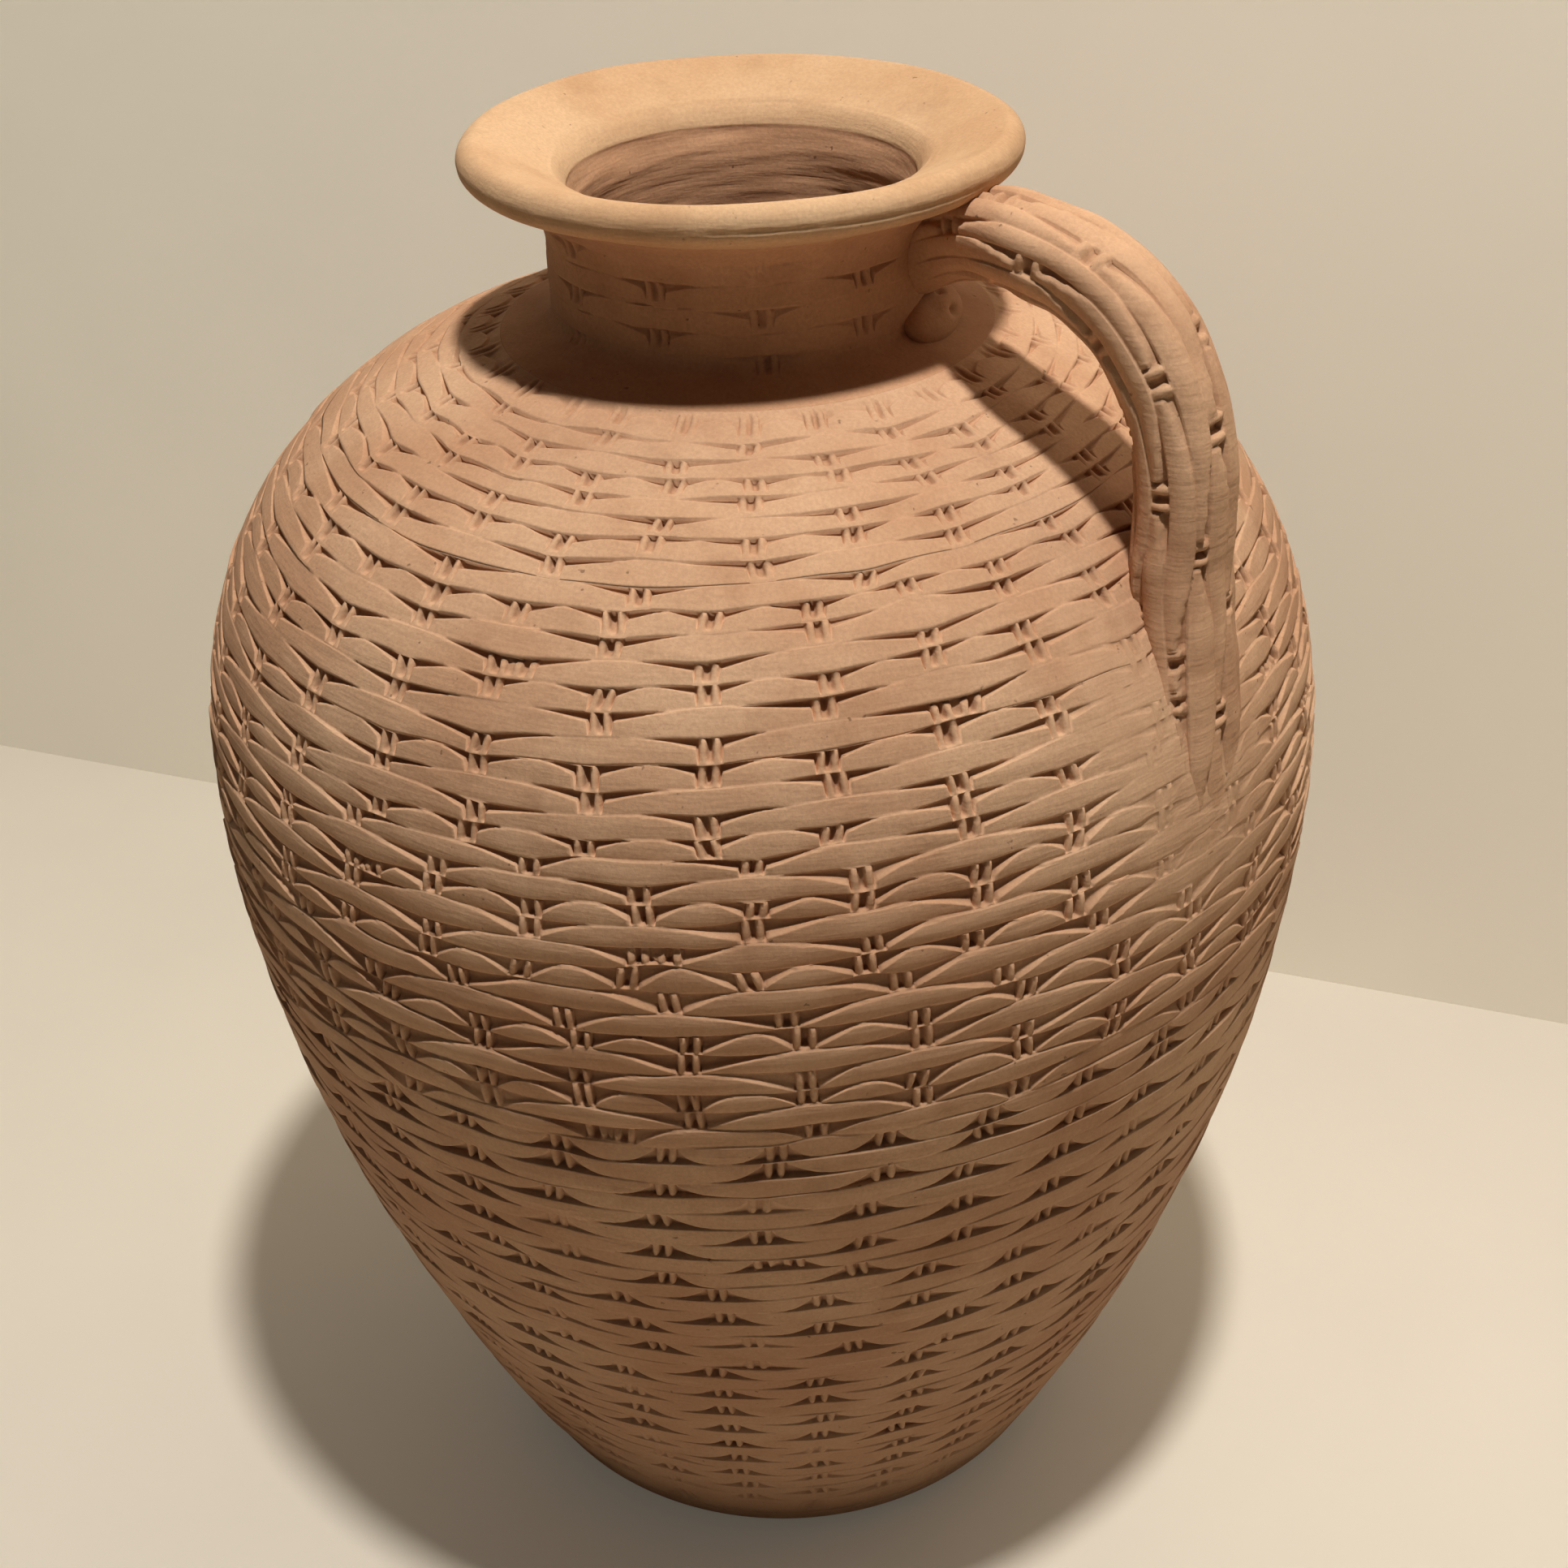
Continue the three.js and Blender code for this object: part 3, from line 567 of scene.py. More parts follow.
def build_wall():
    """The wall pieces, which part along the row edges next to the CAD seams."""
    rows = []
    for s, kind in row_plan():
        z = float(WALL.z_at(s))
        faint = FAINT_SHARE if z < FAINT_BELOW and kind == "even" else 0.0
        look = look_at(z)
        if kind == "both":
            look["reach"] *= FULL_ROW_REACH
        rows.append(Row(WALL, s, kind, look, COLUMN_BANDS, z > REVERSED_BELOW, faint))
    middles = [row.s for row in rows]
    edges = [TOP_MARGIN / 2] + [(a + b) / 2 for a, b in zip(middles, middles[1:])]
    edges.append(WALL.end - BOTTOM_MARGIN / 2)
    ripple = [waves(*EDGE_RIPPLE) for _ in edges]

    def edge(k, gap):
        def line(azimuth):
            s = edges[k] - wander(azimuth, edges[k]) + ripple[k](azimuth)
            if k < len(rows):
                s = s + rows[k].stamps.edge_shift(azimuth, True)
            if k > 0:
                s = s + rows[k - 1].stamps.edge_shift(azimuth, False)
            return s + gap

        return line

    seams = [BELLY_HEIGHT + SHOULDER_RISE * f for f in reversed(UPPER_SEAMS)]
    seams += [BELLY_HEIGHT * f for f in reversed(LOWER_SEAMS)]
    cuts = [int(np.abs(np.array(edges) - WALL.s_at(h)).argmin()) for h in seams]
    starts, ends = [0] + cuts, cuts + [len(rows)]
    hole = MOUTH_RADIUS - NECK_SEAT
    tops, bottoms = [inner_dome(hole)] + seams, seams + [FLOOR_THICKNESS]
    pieces = []
    for n, name in enumerate(WALL_NODES):
        skin = Skin()
        if n == 0:
            plain_ring(skin, WALL, 0.0)
        else:
            skin.ring(*carried)
        first, first_angles = skin.last, skin.angles
        if n == 0:
            plain_ring(skin, WALL, RIM_BAND)
        for k in range(starts[n], ends[n]):
            pitch = edges[k + 1] - edges[k]
            stamped_rings(skin, rows[k], edge(k, CLIFF), edge(k + 1, -CLIFF), pitch, smeared)
        carried = (skin.points[-1], skin.angles, skin.marks[-1])
        if n + 1 == len(WALL_NODES):
            plain_ring(skin, WALL, WALL.end)
        for i, height in enumerate(np.linspace(bottoms[n], tops[n], INNER_RINGS)):
            radius = float(wall_radius(height, WALL_THICKNESS))
            skin.ring(level_ring(radius, height, INNER), INNER, flat=i == 0)
        if n == 0:
            skin.ring(level_ring(hole, NECK_FOOT, INNER), INNER)
        skin.join(first, first_angles, flat=True)
        pieces.append((name, skin.mesh(name + "_skin")))
    return pieces


# Floor slab: its two flat faces end at a small ring in the middle, which leaves a hole 2 mm wide
HUB_RADIUS = 1.0
FOOT_EDGE_POINTS = 12
SLAB_SIDE_RINGS = 5

# Neck and lip
NECK_FILLET_HEIGHT = 8.0
NECK_FILLET_TOE = 3.9
FLARE_HEIGHT = 15.0
FLARE_BEND = 5.0
FLARE_SPREAD = 9.0
LIP_ROLL_RADIUS = 5.3
LIP_ROLL_FROM = math.radians(-72)
THROAT_DROP = 7.0
THROAT_BEND = 1.8
THROAT_EASE = 2.2
THROAT_FALL = LIP_RISE - THROAT_DROP - THROAT_BEND
NECK_ROW_PITCH = 6.6
NECK_BANDS = ((0.0, 12, 4.0),)
NECK_WOBBLE = 0.3
NECK_MARGIN = 10.0
NECK_RIPPLE = (0.3, 3, 10)
NECK_FAINT_SHARE = 0.3
NECK_WAVE = 0.2
BORE_INSET = 0.4
BORE_ROUGHNESS = 0.6
BORE_RINGS = 30
LIP_POINTS = {"slope": 16, "top": 22, "roll": 26, "under": 16}
LIP_TOP_BEND = (10.0, 2.2)
LIP_UNDER_BEND = (6.0, 3.2)
LIP_WAVE_FADE = 6.0
LIP_WAVE_FROM = BORE_RADIUS + 6.0
LIP_WAVE_OUT, LIP_WAVE_UP = 0.4, 0.7
SEAM_RING = 52
SEAM_DEPTH = 0.5
SEAM_HALF_WIDTH = 1.1
SEAM_AZIMUTH = 24.0
SEAM_SPAN = 30.0


def bent(first, middle, last, count=24):
    """A curve from the first point to the last that bends towards the middle one."""
    t = np.linspace(0.0, 1.0, count)[:, None]
    first, middle, last = (np.array(p, float) for p in (first, middle, last))
    return (1 - t) ** 2 * first + 2 * t * (1 - t) * middle + t**2 * last


def build_floor():
    skin = Skin()
    side = (float(wall_radius(FOOT_EDGE_ROUND)), FOOT_EDGE_ROUND)
    edge = bent(side, (FOOT_RADIUS, 0.0), (FOOT_RADIUS - FOOT_EDGE_ROUND, 0.0), FOOT_EDGE_POINTS)
    skin.ring(level_ring(HUB_RADIUS, FLOOR_THICKNESS, EVEN), EVEN)
    first = (skin.last, skin.angles)
    skin.ring(level_ring(float(wall_radius(FLOOR_THICKNESS)), FLOOR_THICKNESS, EVEN), EVEN, flat=True)
    for height in np.linspace(FLOOR_THICKNESS, FOOT_EDGE_ROUND, SLAB_SIDE_RINGS)[1:]:
        skin.ring(level_ring(float(wall_radius(height)), height, EVEN), EVEN)
    for radius, height in edge[1:]:
        skin.ring(level_ring(radius, height, EVEN), EVEN)
    skin.ring(level_ring(HUB_RADIUS, 0.0, EVEN), EVEN, flat=True)
    skin.join(*first)
    return skin.mesh("foot_ring")


def neck_outline():
    flare_end = (NECK_RADIUS + FLARE_SPREAD, NECK_TOP)
    flare = bent(flare_end, (NECK_RADIUS, NECK_TOP - FLARE_BEND), (NECK_RADIUS, NECK_TOP - FLARE_HEIGHT))
    start, toe = NECK_FOOT + NECK_FILLET_HEIGHT, NECK_FOOT + NECK_FILLET_TOE
    fillet = bent((NECK_RADIUS, start), (NECK_RADIUS, toe), (MOUTH_RADIUS, NECK_FOOT))
    line = np.concatenate([flare, fillet])
    return Outline(line[:, 0], line[:, 1], NECK_WOBBLE)


def bore_radius(height):
    """Radius of the rough bore all round the neck, which opens a little under the lip."""
    turn = np.radians(EVEN)
    rough = 0.45 * np.sin(turn * 7 + height * 0.5) * np.sin(height * 0.7) + 0.3 * np.sin(height * 1.9)
    rough += 0.25 * np.sin(turn * 3 - height * 0.2)
    ease = THROAT_EASE * float(smoothstep(NECK_TOP - 2 * THROAT_FALL, NECK_TOP, height)) ** 2
    return BORE_RADIUS - BORE_INSET + ease + BORE_ROUGHNESS * rough * (height < NECK_TOP - 1.0)


def build_neck():
    form = neck_outline()
    count = int((form.end - 2 * NECK_MARGIN) / NECK_ROW_PITCH)
    edges = NECK_MARGIN + NECK_ROW_PITCH * np.arange(count + 1)
    ripple = [waves(*NECK_RIPPLE) for _ in edges]

    def edge(k, gap):
        def line(azimuth):
            return edges[k] + ripple[k](azimuth) + gap

        return line

    skin = Skin()
    plain_ring(skin, form, 0.0)
    top, top_angles = skin.last, skin.angles
    for s in np.append(RIM_BAND, np.linspace(1.0, NECK_MARGIN - 2.0, 6)):
        plain_ring(skin, form, s, NECK_WAVE * np.sin(s))
    for k in range(count):
        kind = "odd" if k % 2 else "even"
        middle = (edges[k] + edges[k + 1]) / 2
        row = Row(form, middle, kind, NECK_LOOK, NECK_BANDS, True, NECK_FAINT_SHARE)
        stamped_rings(skin, row, edge(k, CLIFF), edge(k + 1, -CLIFF), NECK_ROW_PITCH)
    for s in np.append(np.linspace(edges[-1] + 1.5, form.end - RIM_BAND, 8), form.end):
        plain_ring(skin, form, s)
    heights = np.linspace(NECK_FOOT, NECK_TOP, BORE_RINGS)
    for i, height in enumerate(np.insert(heights, -1, NECK_TOP - RIM_BAND)):
        skin.ring(level_ring(bore_radius(height), height, EVEN), EVEN, flat=i == 0)
    skin.join(top, top_angles, flat=True)
    return skin.mesh("neck_skin")


def lip_line():
    """Section of the lip, from its foot on the throat's side over the top to its foot outside."""
    roll = LIP_ROLL_RADIUS
    turns = np.linspace(math.pi / 2, LIP_ROLL_FROM, LIP_POINTS["roll"])
    around = np.stack([LIP_RADIUS - roll + roll * np.cos(turns), LIP_TOP - roll + roll * np.sin(turns)], -1)
    foot = NECK_RADIUS + FLARE_SPREAD
    over, up = LIP_UNDER_BEND
    under = bent(around[-1], (foot + over, NECK_TOP + up), (foot, NECK_TOP), LIP_POINTS["under"])
    throat = np.array([BORE_RADIUS + FLARE_SPREAD, LIP_TOP - THROAT_DROP])
    ease = BORE_RADIUS - BORE_INSET + THROAT_EASE
    bend = (ease + THROAT_EASE, NECK_TOP + THROAT_FALL)
    slope = bent((ease, NECK_TOP), bend, throat, LIP_POINTS["slope"])
    slope = np.insert(slope, 1, slope[0] + [0.0, RIM_BAND], axis=0)
    under = np.insert(under, -1, under[-1] + [0.0, RIM_BAND], axis=0)
    out, down = LIP_TOP_BEND
    bend = (BORE_RADIUS + FLARE_SPREAD + out, LIP_TOP - down)
    top = bent(throat, bend, around[0], LIP_POINTS["top"])
    return np.concatenate([slope, top[1:], around[1:], under[1:]])


def seam_mask(azimuth):
    """How clearly the hairline seam shows along the lip."""
    apart = (azimuth - SEAM_AZIMUTH + 180.0) % 360.0 - 180.0
    broken = 0.5 + 0.5 * np.sin(np.radians(azimuth) * 31.0) * np.sin(np.radians(azimuth) * 13.0 + 1.0)
    clear = np.exp(-((apart / SEAM_SPAN) ** 4)) * (0.45 + 0.7 * broken)
    return np.clip(clear + 0.35 * broken, 0.0, 1.0)


def build_lip():
    turn = np.radians(EVEN)
    skin = Skin()
    for n, (radius, height) in enumerate(lip_line()):
        wave = 0.35 * np.sin(2 * turn + 0.9) + 0.22 * np.sin(5 * turn + 0.1 * radius)
        wave += 0.12 * np.sin(9 * turn)
        fade = smoothstep(NECK_TOP, NECK_TOP + LIP_WAVE_FADE, height)
        seam = -SEAM_DEPTH * np.exp(-(((n - SEAM_RING) / SEAM_HALF_WIDTH) ** 2)) * seam_mask(EVEN)
        points = level_ring(radius + (LIP_WAVE_OUT * wave + seam) * fade, 0.0, EVEN)
        points[:, 2] = height + LIP_WAVE_UP * wave * fade * (radius > LIP_WAVE_FROM)
        skin.ring(points, EVEN, seam * 2)
    skin.join(np.arange(EVEN_COUNT), EVEN, flat=True)
    return skin.mesh("lip_skin")


# Handle
HANDLE_ROOT_DROP = 14.0
HANDLE_CROWN_PULL = 19.0
HANDLE_REACH = 91.8
HANDLE_FALL = 60.0
HANDLE_LANDING_RISE = 30.0
HANDLE_LANDING_SINK = 6.0
HANDLE_DRIFT = 10.5
HANDLE_SWAY = 12.5
SWAY_TO = 0.24
CROWN_PULL, FALL_PULL, LAND_PULL, LAND_LEAN, DRIFT_FROM = 0.36, 0.2, 0.42, 0.62, 0.45
STRAP_WIDTH = 29.5
STRAP_THICKNESS = 23.5
STRAP_SQUARENESS = 2.3
TAIL_THICKNESS = 12.0
TAIL_FROM = 0.62
TAIL_SPREAD = 7.0
ROOT_TUCK = 6.0
ROOT_WIDTH = 22.0
ROOT_WIDENING = 45.0
REED_COUNT = 13
REED_STAMP_STEP = 76.0
REED_STAMP_SIZE = 1.25
REED_FIRST_STAMP = 20.0
REED_STAGGER = 0.4
REED_JITTER = 5.0
REED_RIPPLE = (0.8, 1, 5, 420.0)
REED_SHARES = (0.0, 0.05, 0.17, 0.34, 0.53, 0.73, 0.92, 1.0)
ROOT_CALM, TAIL_CALM = (-2.0, 16.0), (2.0, 30.0)
HANDLE_STEP = 0.75


def cubic(a, b, c, d, count=400):
    t = np.linspace(0.0, 1.0, count)[:, None]
    a, b, c, d = (np.array(p, float) for p in (a, b, c, d))
    return (1 - t) ** 3 * a + 3 * t * (1 - t) ** 2 * b + 3 * t**2 * (1 - t) * c + t**3 * d


def handle_line():
    """The strap's middle line outwards and up, in the plane of the handle, and the length along it."""
    root_z = NECK_TOP - HANDLE_ROOT_DROP
    land_z = BELLY_HEIGHT + HANDLE_LANDING_RISE
    reach = NECK_RADIUS + HANDLE_REACH
    turn_z = root_z - HANDLE_FALL
    crown = root_z + HANDLE_CROWN_PULL
    fall = turn_z - land_z
    land = float(wall_radius(land_z)) - HANDLE_LANDING_SINK
    lean = reach + (land - reach) * LAND_LEAN
    rise = NECK_RADIUS + HANDLE_REACH * CROWN_PULL
    over = cubic((NECK_RADIUS, root_z), (rise, crown), (reach, crown), (reach, turn_z))
    upper, lower = turn_z - fall * FALL_PULL, turn_z - fall * LAND_PULL
    down = cubic((reach, turn_z), (reach, upper), (lean, lower), (land, land_z))
    line = np.concatenate([over, down[1:]])
    along = np.concatenate([[0.0], np.cumsum(np.hypot(*np.diff(line, axis=0).T))])
    return line, along


def handle_frame():
    """Places along the strap, its length, and its middle line and direction there; it starts in the root."""
    line, along = handle_line()
    length = along[-1]
    place = np.linspace(-ROOT_TUCK, length, int((length + ROOT_TUCK) / HANDLE_STEP))
    on_line, tucked = np.maximum(place, 0), np.minimum(place, 0)
    slope = np.gradient(line, along, axis=0)
    x, z = (np.interp(on_line, along, line[:, i]) for i in (0, 1))
    tx, tz = (np.interp(on_line, along, slope[:, i]) for i in (0, 1))
    norm = np.hypot(tx, tz)
    tx, tz = tx / norm, tz / norm
    return place, length, x + tx * tucked, z + tz * tucked, tx, tz


def capped_tube(name, grid, marks):
    """A closed mesh from the rings of a tube, with a fan of faces over each end."""
    rings, count = grid.shape[:2]
    number = np.arange(rings * count).reshape(rings, count)
    a, b = number[:-1], np.roll(number[:-1], -1, 1)
    c, d = np.roll(number[1:], -1, 1), number[1:]
    faces = np.stack([a, b, c, d], -1).reshape(-1, 4).tolist()
    start, end = rings * count, rings * count + 1
    for i in range(count):
        j = (i + 1) % count
        faces.append([start, int(number[0, j]), int(number[0, i])])
        faces.append([end, int(number[-1, i]), int(number[-1, j])])
    points = np.concatenate([grid.reshape(-1, 3), [grid[0].mean(0), grid[-1].mean(0)]])
    return make_mesh(name, points, faces, np.concatenate([marks.ravel(), [0.0, 0.0]]))


def build_handle():
    place, length, x, z, tx, tz = handle_frame()
    share = np.clip(place / length, 0.0, 1.0)
    lower = smoothstep(DRIFT_FROM, 1.0, share)
    drift = HANDLE_DRIFT * lower - HANDLE_SWAY * (1.0 - smoothstep(0.0, SWAY_TO, share))
    tail = smoothstep(TAIL_FROM, 1.0, share)
    widening = smoothstep(0.0, ROOT_WIDENING, place)
    width = ROOT_WIDTH + (STRAP_WIDTH - ROOT_WIDTH) * widening + TAIL_SPREAD * lower
    thick = STRAP_THICKNESS + (TAIL_THICKNESS - STRAP_THICKNESS) * tail
    calm = smoothstep(*ROOT_CALM, place) * smoothstep(*(length - c for c in TAIL_CALM), place)
    step = 2 * math.pi / REED_COUNT
    mean = (STRAP_WIDTH + STRAP_THICKNESS) / 4.0
    reeds = []
    for k in range(REED_COUNT):
        first = REED_FIRST_STAMP + REED_STAMP_STEP * ((k * REED_STAGGER) % 1.0)
        first += random.uniform(-REED_JITTER, REED_JITTER)
        reeds.append(Stamps(np.arange(first, length, REED_STAMP_STEP), REED_LOOK, REED_STAMP_SIZE))
    ripple = [waves(*REED_RIPPLE) for _ in range(REED_COUNT)]
    edges = []
    for k in range(REED_COUNT):
        moved = ripple[k](place) + reeds[k].edge_shift(place, True) + reeds[k - 1].edge_shift(place, False)
        edges.append(step * k + moved * calm / mean)
    edges.append(edges[0] + 2 * math.pi)
    gap = CLIFF / mean
    lines, marks = [], []
    for k in range(REED_COUNT):
        for part in REED_SHARES:
            angle = edges[k] + gap + (edges[k + 1] - edges[k] - 2 * gap) * part
            lift = reeds[k].lift(place, part) * calm
            c, s = np.cos(angle), np.sin(angle)
            spread = np.abs(c) ** STRAP_SQUARENESS + np.abs(s) ** STRAP_SQUARENESS
            full = spread ** (1.0 / STRAP_SQUARENESS)
            side = c / full * (width / 2 + lift)
            out = s / full * (thick / 2 + lift)
            lines.append(np.stack([x - tz * out, side - drift, z + tx * out], -1))
            marks.append(lift)
    return capped_tube("handle_reeded", np.stack(lines, 1), np.stack(marks, 1))


# Dab of clay under the handle's root
PAD_HALF_WIDTH = 16.5
PAD_HALF_HEIGHT = 8.5
PAD_HALF_DEPTH = 6.0
PAD_TILT = math.radians(40)
PAD_SWING = math.radians(15.5)
PAD_RISE = 7.5
PAD_OUT = 0.3
PAD_COLUMNS = 96
PAD_ROWS = 48
# Dents in the dab, on a ball of radius 1: middle across and up, and half width and height
PAD_DENT = (-0.45, 0.1, 0.35, 0.5)
PAD_PITS = ((0.12, 0.45, 0.11, 0.15), (0.1, -0.4, 0.11, 0.15))
PAD_DENT_DEPTH, PAD_PIT_DEPTH = 0.2, 0.4
PAD_LUMPS = 0.02
# How much the dents and pits count in the relief, which darkens them with painted shade
PAD_RELIEF = 4


def build_pad():
    rings = []
    for i in range(1, PAD_ROWS):
        down = math.pi * i / PAD_ROWS
        turn = np.linspace(0.0, 2 * math.pi, PAD_COLUMNS, endpoint=False)
        x, y = np.sin(down) * np.cos(turn), np.sin(down) * np.sin(turn)
        z = np.full(PAD_COLUMNS, math.cos(down))
        dent = PAD_DENT_DEPTH * spot(y, z, PAD_DENT, 2) * (x > 0)
        pits = sum(PAD_PIT_DEPTH * spot(y, z, pit, 2) for pit in PAD_PITS)
        size = 1.0 - dent - pits * (x > 0) + PAD_LUMPS * np.sin(5 * y + 3 * z)
        rings.append((np.stack([x, y, z], -1) * size[:, None], -(dent + pits) * (x > 0)))
    points = np.concatenate([r for r, _ in rings] + [[[0, 0, 1.0], [0, 0, -1.0]]])
    marks = np.concatenate([m for _, m in rings] + [[0.0, 0.0]])
    points = points * [PAD_HALF_DEPTH, PAD_HALF_WIDTH, PAD_HALF_HEIGHT]
    tilt = Matrix.Rotation(-PAD_TILT, 3, "Y")
    swing = Matrix.Rotation(PAD_SWING, 3, "Z")
    points = points @ np.array(tilt).T + [NECK_RADIUS + PAD_OUT, 0.0, NECK_FOOT + PAD_RISE]
    points = points @ np.array(swing).T
    faces, count = [], PAD_COLUMNS
    for r in range(PAD_ROWS - 2):
        for i in range(count):
            j = (i + 1) % count
            faces.append([r * count + i, (r + 1) * count + i, (r + 1) * count + j, r * count + j])
    top, bottom = len(points) - 2, len(points) - 1
    last = (PAD_ROWS - 2) * count
    for i in range(count):
        j = (i + 1) % count
        faces.append([top, i, j])
        faces.append([bottom, last + j, last + i])
    return make_mesh("thumb_dab", points, faces, marks * PAD_RELIEF)


# Marks in the clay's colour: the span of a texture that brings each out, and its strength at both ends
PALE_PATCHES = (0.35, 0.68, 0.0, 1.0)
DARK_CLOUDS = (0.5, 0.8, 0.0, 0.28)
PALE_STREAKS = (0.52, 0.75, 0.0, 0.4)
DARK_GRAIN = (0.3, 0.7, 0.0, 0.22)
# Painted shade: the deeper a point lies in a hollow of the relief, the darker its clay
PAINTED_HOLLOW_SHADE = (-1.9, -0.25, 0.35, 0.0)
# Dust and painted highlight: the higher a point stands in the relief, the paler its clay
EDGE_DUST_AND_HIGHLIGHT = (0.25, 0.7, 0.0, 0.35)
DARK_SPECKS = (0.72, 0.78, 0.0, 0.6)
ROUGHNESS = (0.3, 0.7, 0.86, 0.97)
SPECULAR = 0.25
SPECK_TONE = 0.35
# Painted shade: between these heights in m, the wall's clay goes from darkened at the foot to its plain
# colour
FOOT_SHADE_HEIGHTS = (0.05, 0.27)
FOOT_SHADE_TONE = 0.75
STREAK_SCALE = (16.0, 16.0, 120.0)
STREAK_HEIGHT, CLOUD_HEIGHT = 0.9, 0.35
BROAD_BUMP = {"Strength": 0.7, "Distance": 0.0013}
FINE_BUMP = {"Strength": 0.5, "Distance": 0.00022}


def linear(red, green, blue):
    """A colour written as screen values from 0 to 255, as the shader wants it."""
    shares = [c / 255 for c in (red, green, blue)]
    values = [c / 12.92 if c <= 0.04045 else ((c + 0.055) / 1.055) ** 2.4 for c in shares]
    return (*values, 1.0)


def darker(colour, share):
    return tuple(c * share for c in colour[:3]) + (1.0,)


class Tree:
    """The nodes of one material."""

    def __init__(self, material):
        material.use_nodes = True
        self.nodes = material.node_tree.nodes
        self.links = material.node_tree.links
        self.shader = self.nodes["Principled BSDF"]

    def add(self, kind, inputs=(), **settings):
        """A new node; inputs go by name or number, and each is a value or another node's output."""
        node = self.nodes.new(kind)
        for name, value in settings.items():
            setattr(node, name, value)
        for name, value in dict(inputs).items():
            if isinstance(value, bpy.types.NodeSocket):
                self.links.new(value, node.inputs[name])
            else:
                node.inputs[name].default_value = value
        return node

    def noise(self, vector, scale, detail, roughness=0.55):
        inputs = {"Vector": vector, "Scale": scale, "Detail": detail, "Roughness": roughness}
        return self.add("ShaderNodeTexNoise", inputs).outputs["Fac"]

    def ramp(self, value, low, high, out_low=0.0, out_high=1.0):
        inputs = {"Value": value, "From Min": low, "From Max": high, "To Min": out_low, "To Max": out_high}
        return self.add("ShaderNodeMapRange", inputs, interpolation_type="SMOOTHSTEP").outputs["Result"]

    def mix(self, share, first, second):
        made = self.add("ShaderNodeMix", {0: share, 6: first, 7: second}, data_type="RGBA")
        return made.outputs[2]

    def maths(self, kind, first, second):
        return self.add("ShaderNodeMath", {0: first, 1: second}, operation=kind).outputs[0]


def clay_material(name, base, dark, pale, low_shade):
    """Fired clay: a base colour with patches, streaks and specks; painted shade darkens its hollows and its
    foot, and dust and painted highlight make its raised edges paler.
    """
    base, dark, pale = (linear(*colour) for colour in (base, dark, pale))
    material = bpy.data.materials.new(name)
    tree = Tree(material)
    place = tree.add("ShaderNodeTexCoord").outputs["Object"]
    streak_place = tree.add("ShaderNodeMapping", {"Vector": place, "Scale": STREAK_SCALE}).outputs[0]
    patches = tree.noise(place, 13.0, 5.0, 0.6)
    clouds = tree.noise(place, 55.0, 4.0, 0.6)
    streaks = tree.noise(streak_place, 1.0, 4.0, 0.6)
    grain = tree.noise(place, 900.0, 3.0, 0.7)
    specks = tree.noise(place, 330.0, 2.0, 0.5)
    relief = tree.add("ShaderNodeAttribute", attribute_name="relief").outputs["Fac"]

    colour = tree.mix(tree.ramp(patches, *PALE_PATCHES), base, pale)
    colour = tree.mix(tree.ramp(clouds, *DARK_CLOUDS), colour, dark)
    colour = tree.mix(tree.ramp(streaks, *PALE_STREAKS), colour, pale)
    colour = tree.mix(tree.ramp(grain, *DARK_GRAIN), colour, dark)
    # Painted shade in the hollows of the relief
    colour = tree.mix(tree.ramp(relief, *PAINTED_HOLLOW_SHADE), colour, dark)
    # Dust and painted highlight on the raised edges
    colour = tree.mix(tree.ramp(relief, *EDGE_DUST_AND_HIGHLIGHT), colour, pale)
    # Painted shade: the clay is darkened towards the foot, under the belly
    above_floor = tree.add("ShaderNodeSeparateXYZ", {"Vector": place}).outputs["Z"]
    foot_shade = tree.ramp(above_floor, *FOOT_SHADE_HEIGHTS, low_shade, 0.0)
    colour = tree.mix(foot_shade, colour, darker(dark, FOOT_SHADE_TONE))
    colour = tree.mix(tree.ramp(specks, *DARK_SPECKS), colour, darker(dark, SPECK_TONE))
    tree.links.new(colour, tree.shader.inputs["Base Color"])
    tree.links.new(tree.ramp(clouds, *ROUGHNESS), tree.shader.inputs["Roughness"])
    tree.shader.inputs["Specular IOR Level"].default_value = SPECULAR

    height = tree.maths("MULTIPLY", streaks, STREAK_HEIGHT)
    height = tree.maths("ADD", height, tree.maths("MULTIPLY", clouds, CLOUD_HEIGHT))
    broad = tree.add("ShaderNodeBump", {"Height": height, **BROAD_BUMP})
    fine = tree.add("ShaderNodeBump", {"Height": grain, "Normal": broad.outputs[0], **FINE_BUMP})
    tree.links.new(fine.outputs[0], tree.shader.inputs["Normal"])
    return material


# Base, dark and pale colour of each clay, as screen values, and the share of painted shade at the foot
CLAY_LOOKS = {
    "wall_clay": ((193, 146, 110), (142, 98, 68), (212, 170, 133), 0.4),
    "neck_clay": ((183, 134, 98), (136, 92, 62), (203, 156, 118), 0.0),
    "lip_clay": ((196, 153, 112), (150, 110, 76), (212, 173, 132), 0.0),
    "handle_clay": ((190, 142, 106), (138, 95, 65), (211, 167, 129), 0.0),
}
CLAYS = {name: clay_material(name, *look) for name, look in CLAY_LOOKS.items()}


def dress(piece, clay, slot, *nodes):
    """Gives a piece its clay, hangs it on the root body and hides the nodes of the frame that it stands for.
    """
    piece.data.materials.clear()
    piece.data.materials.append(CLAYS[clay])
    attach(piece, "root")
    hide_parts(*nodes)


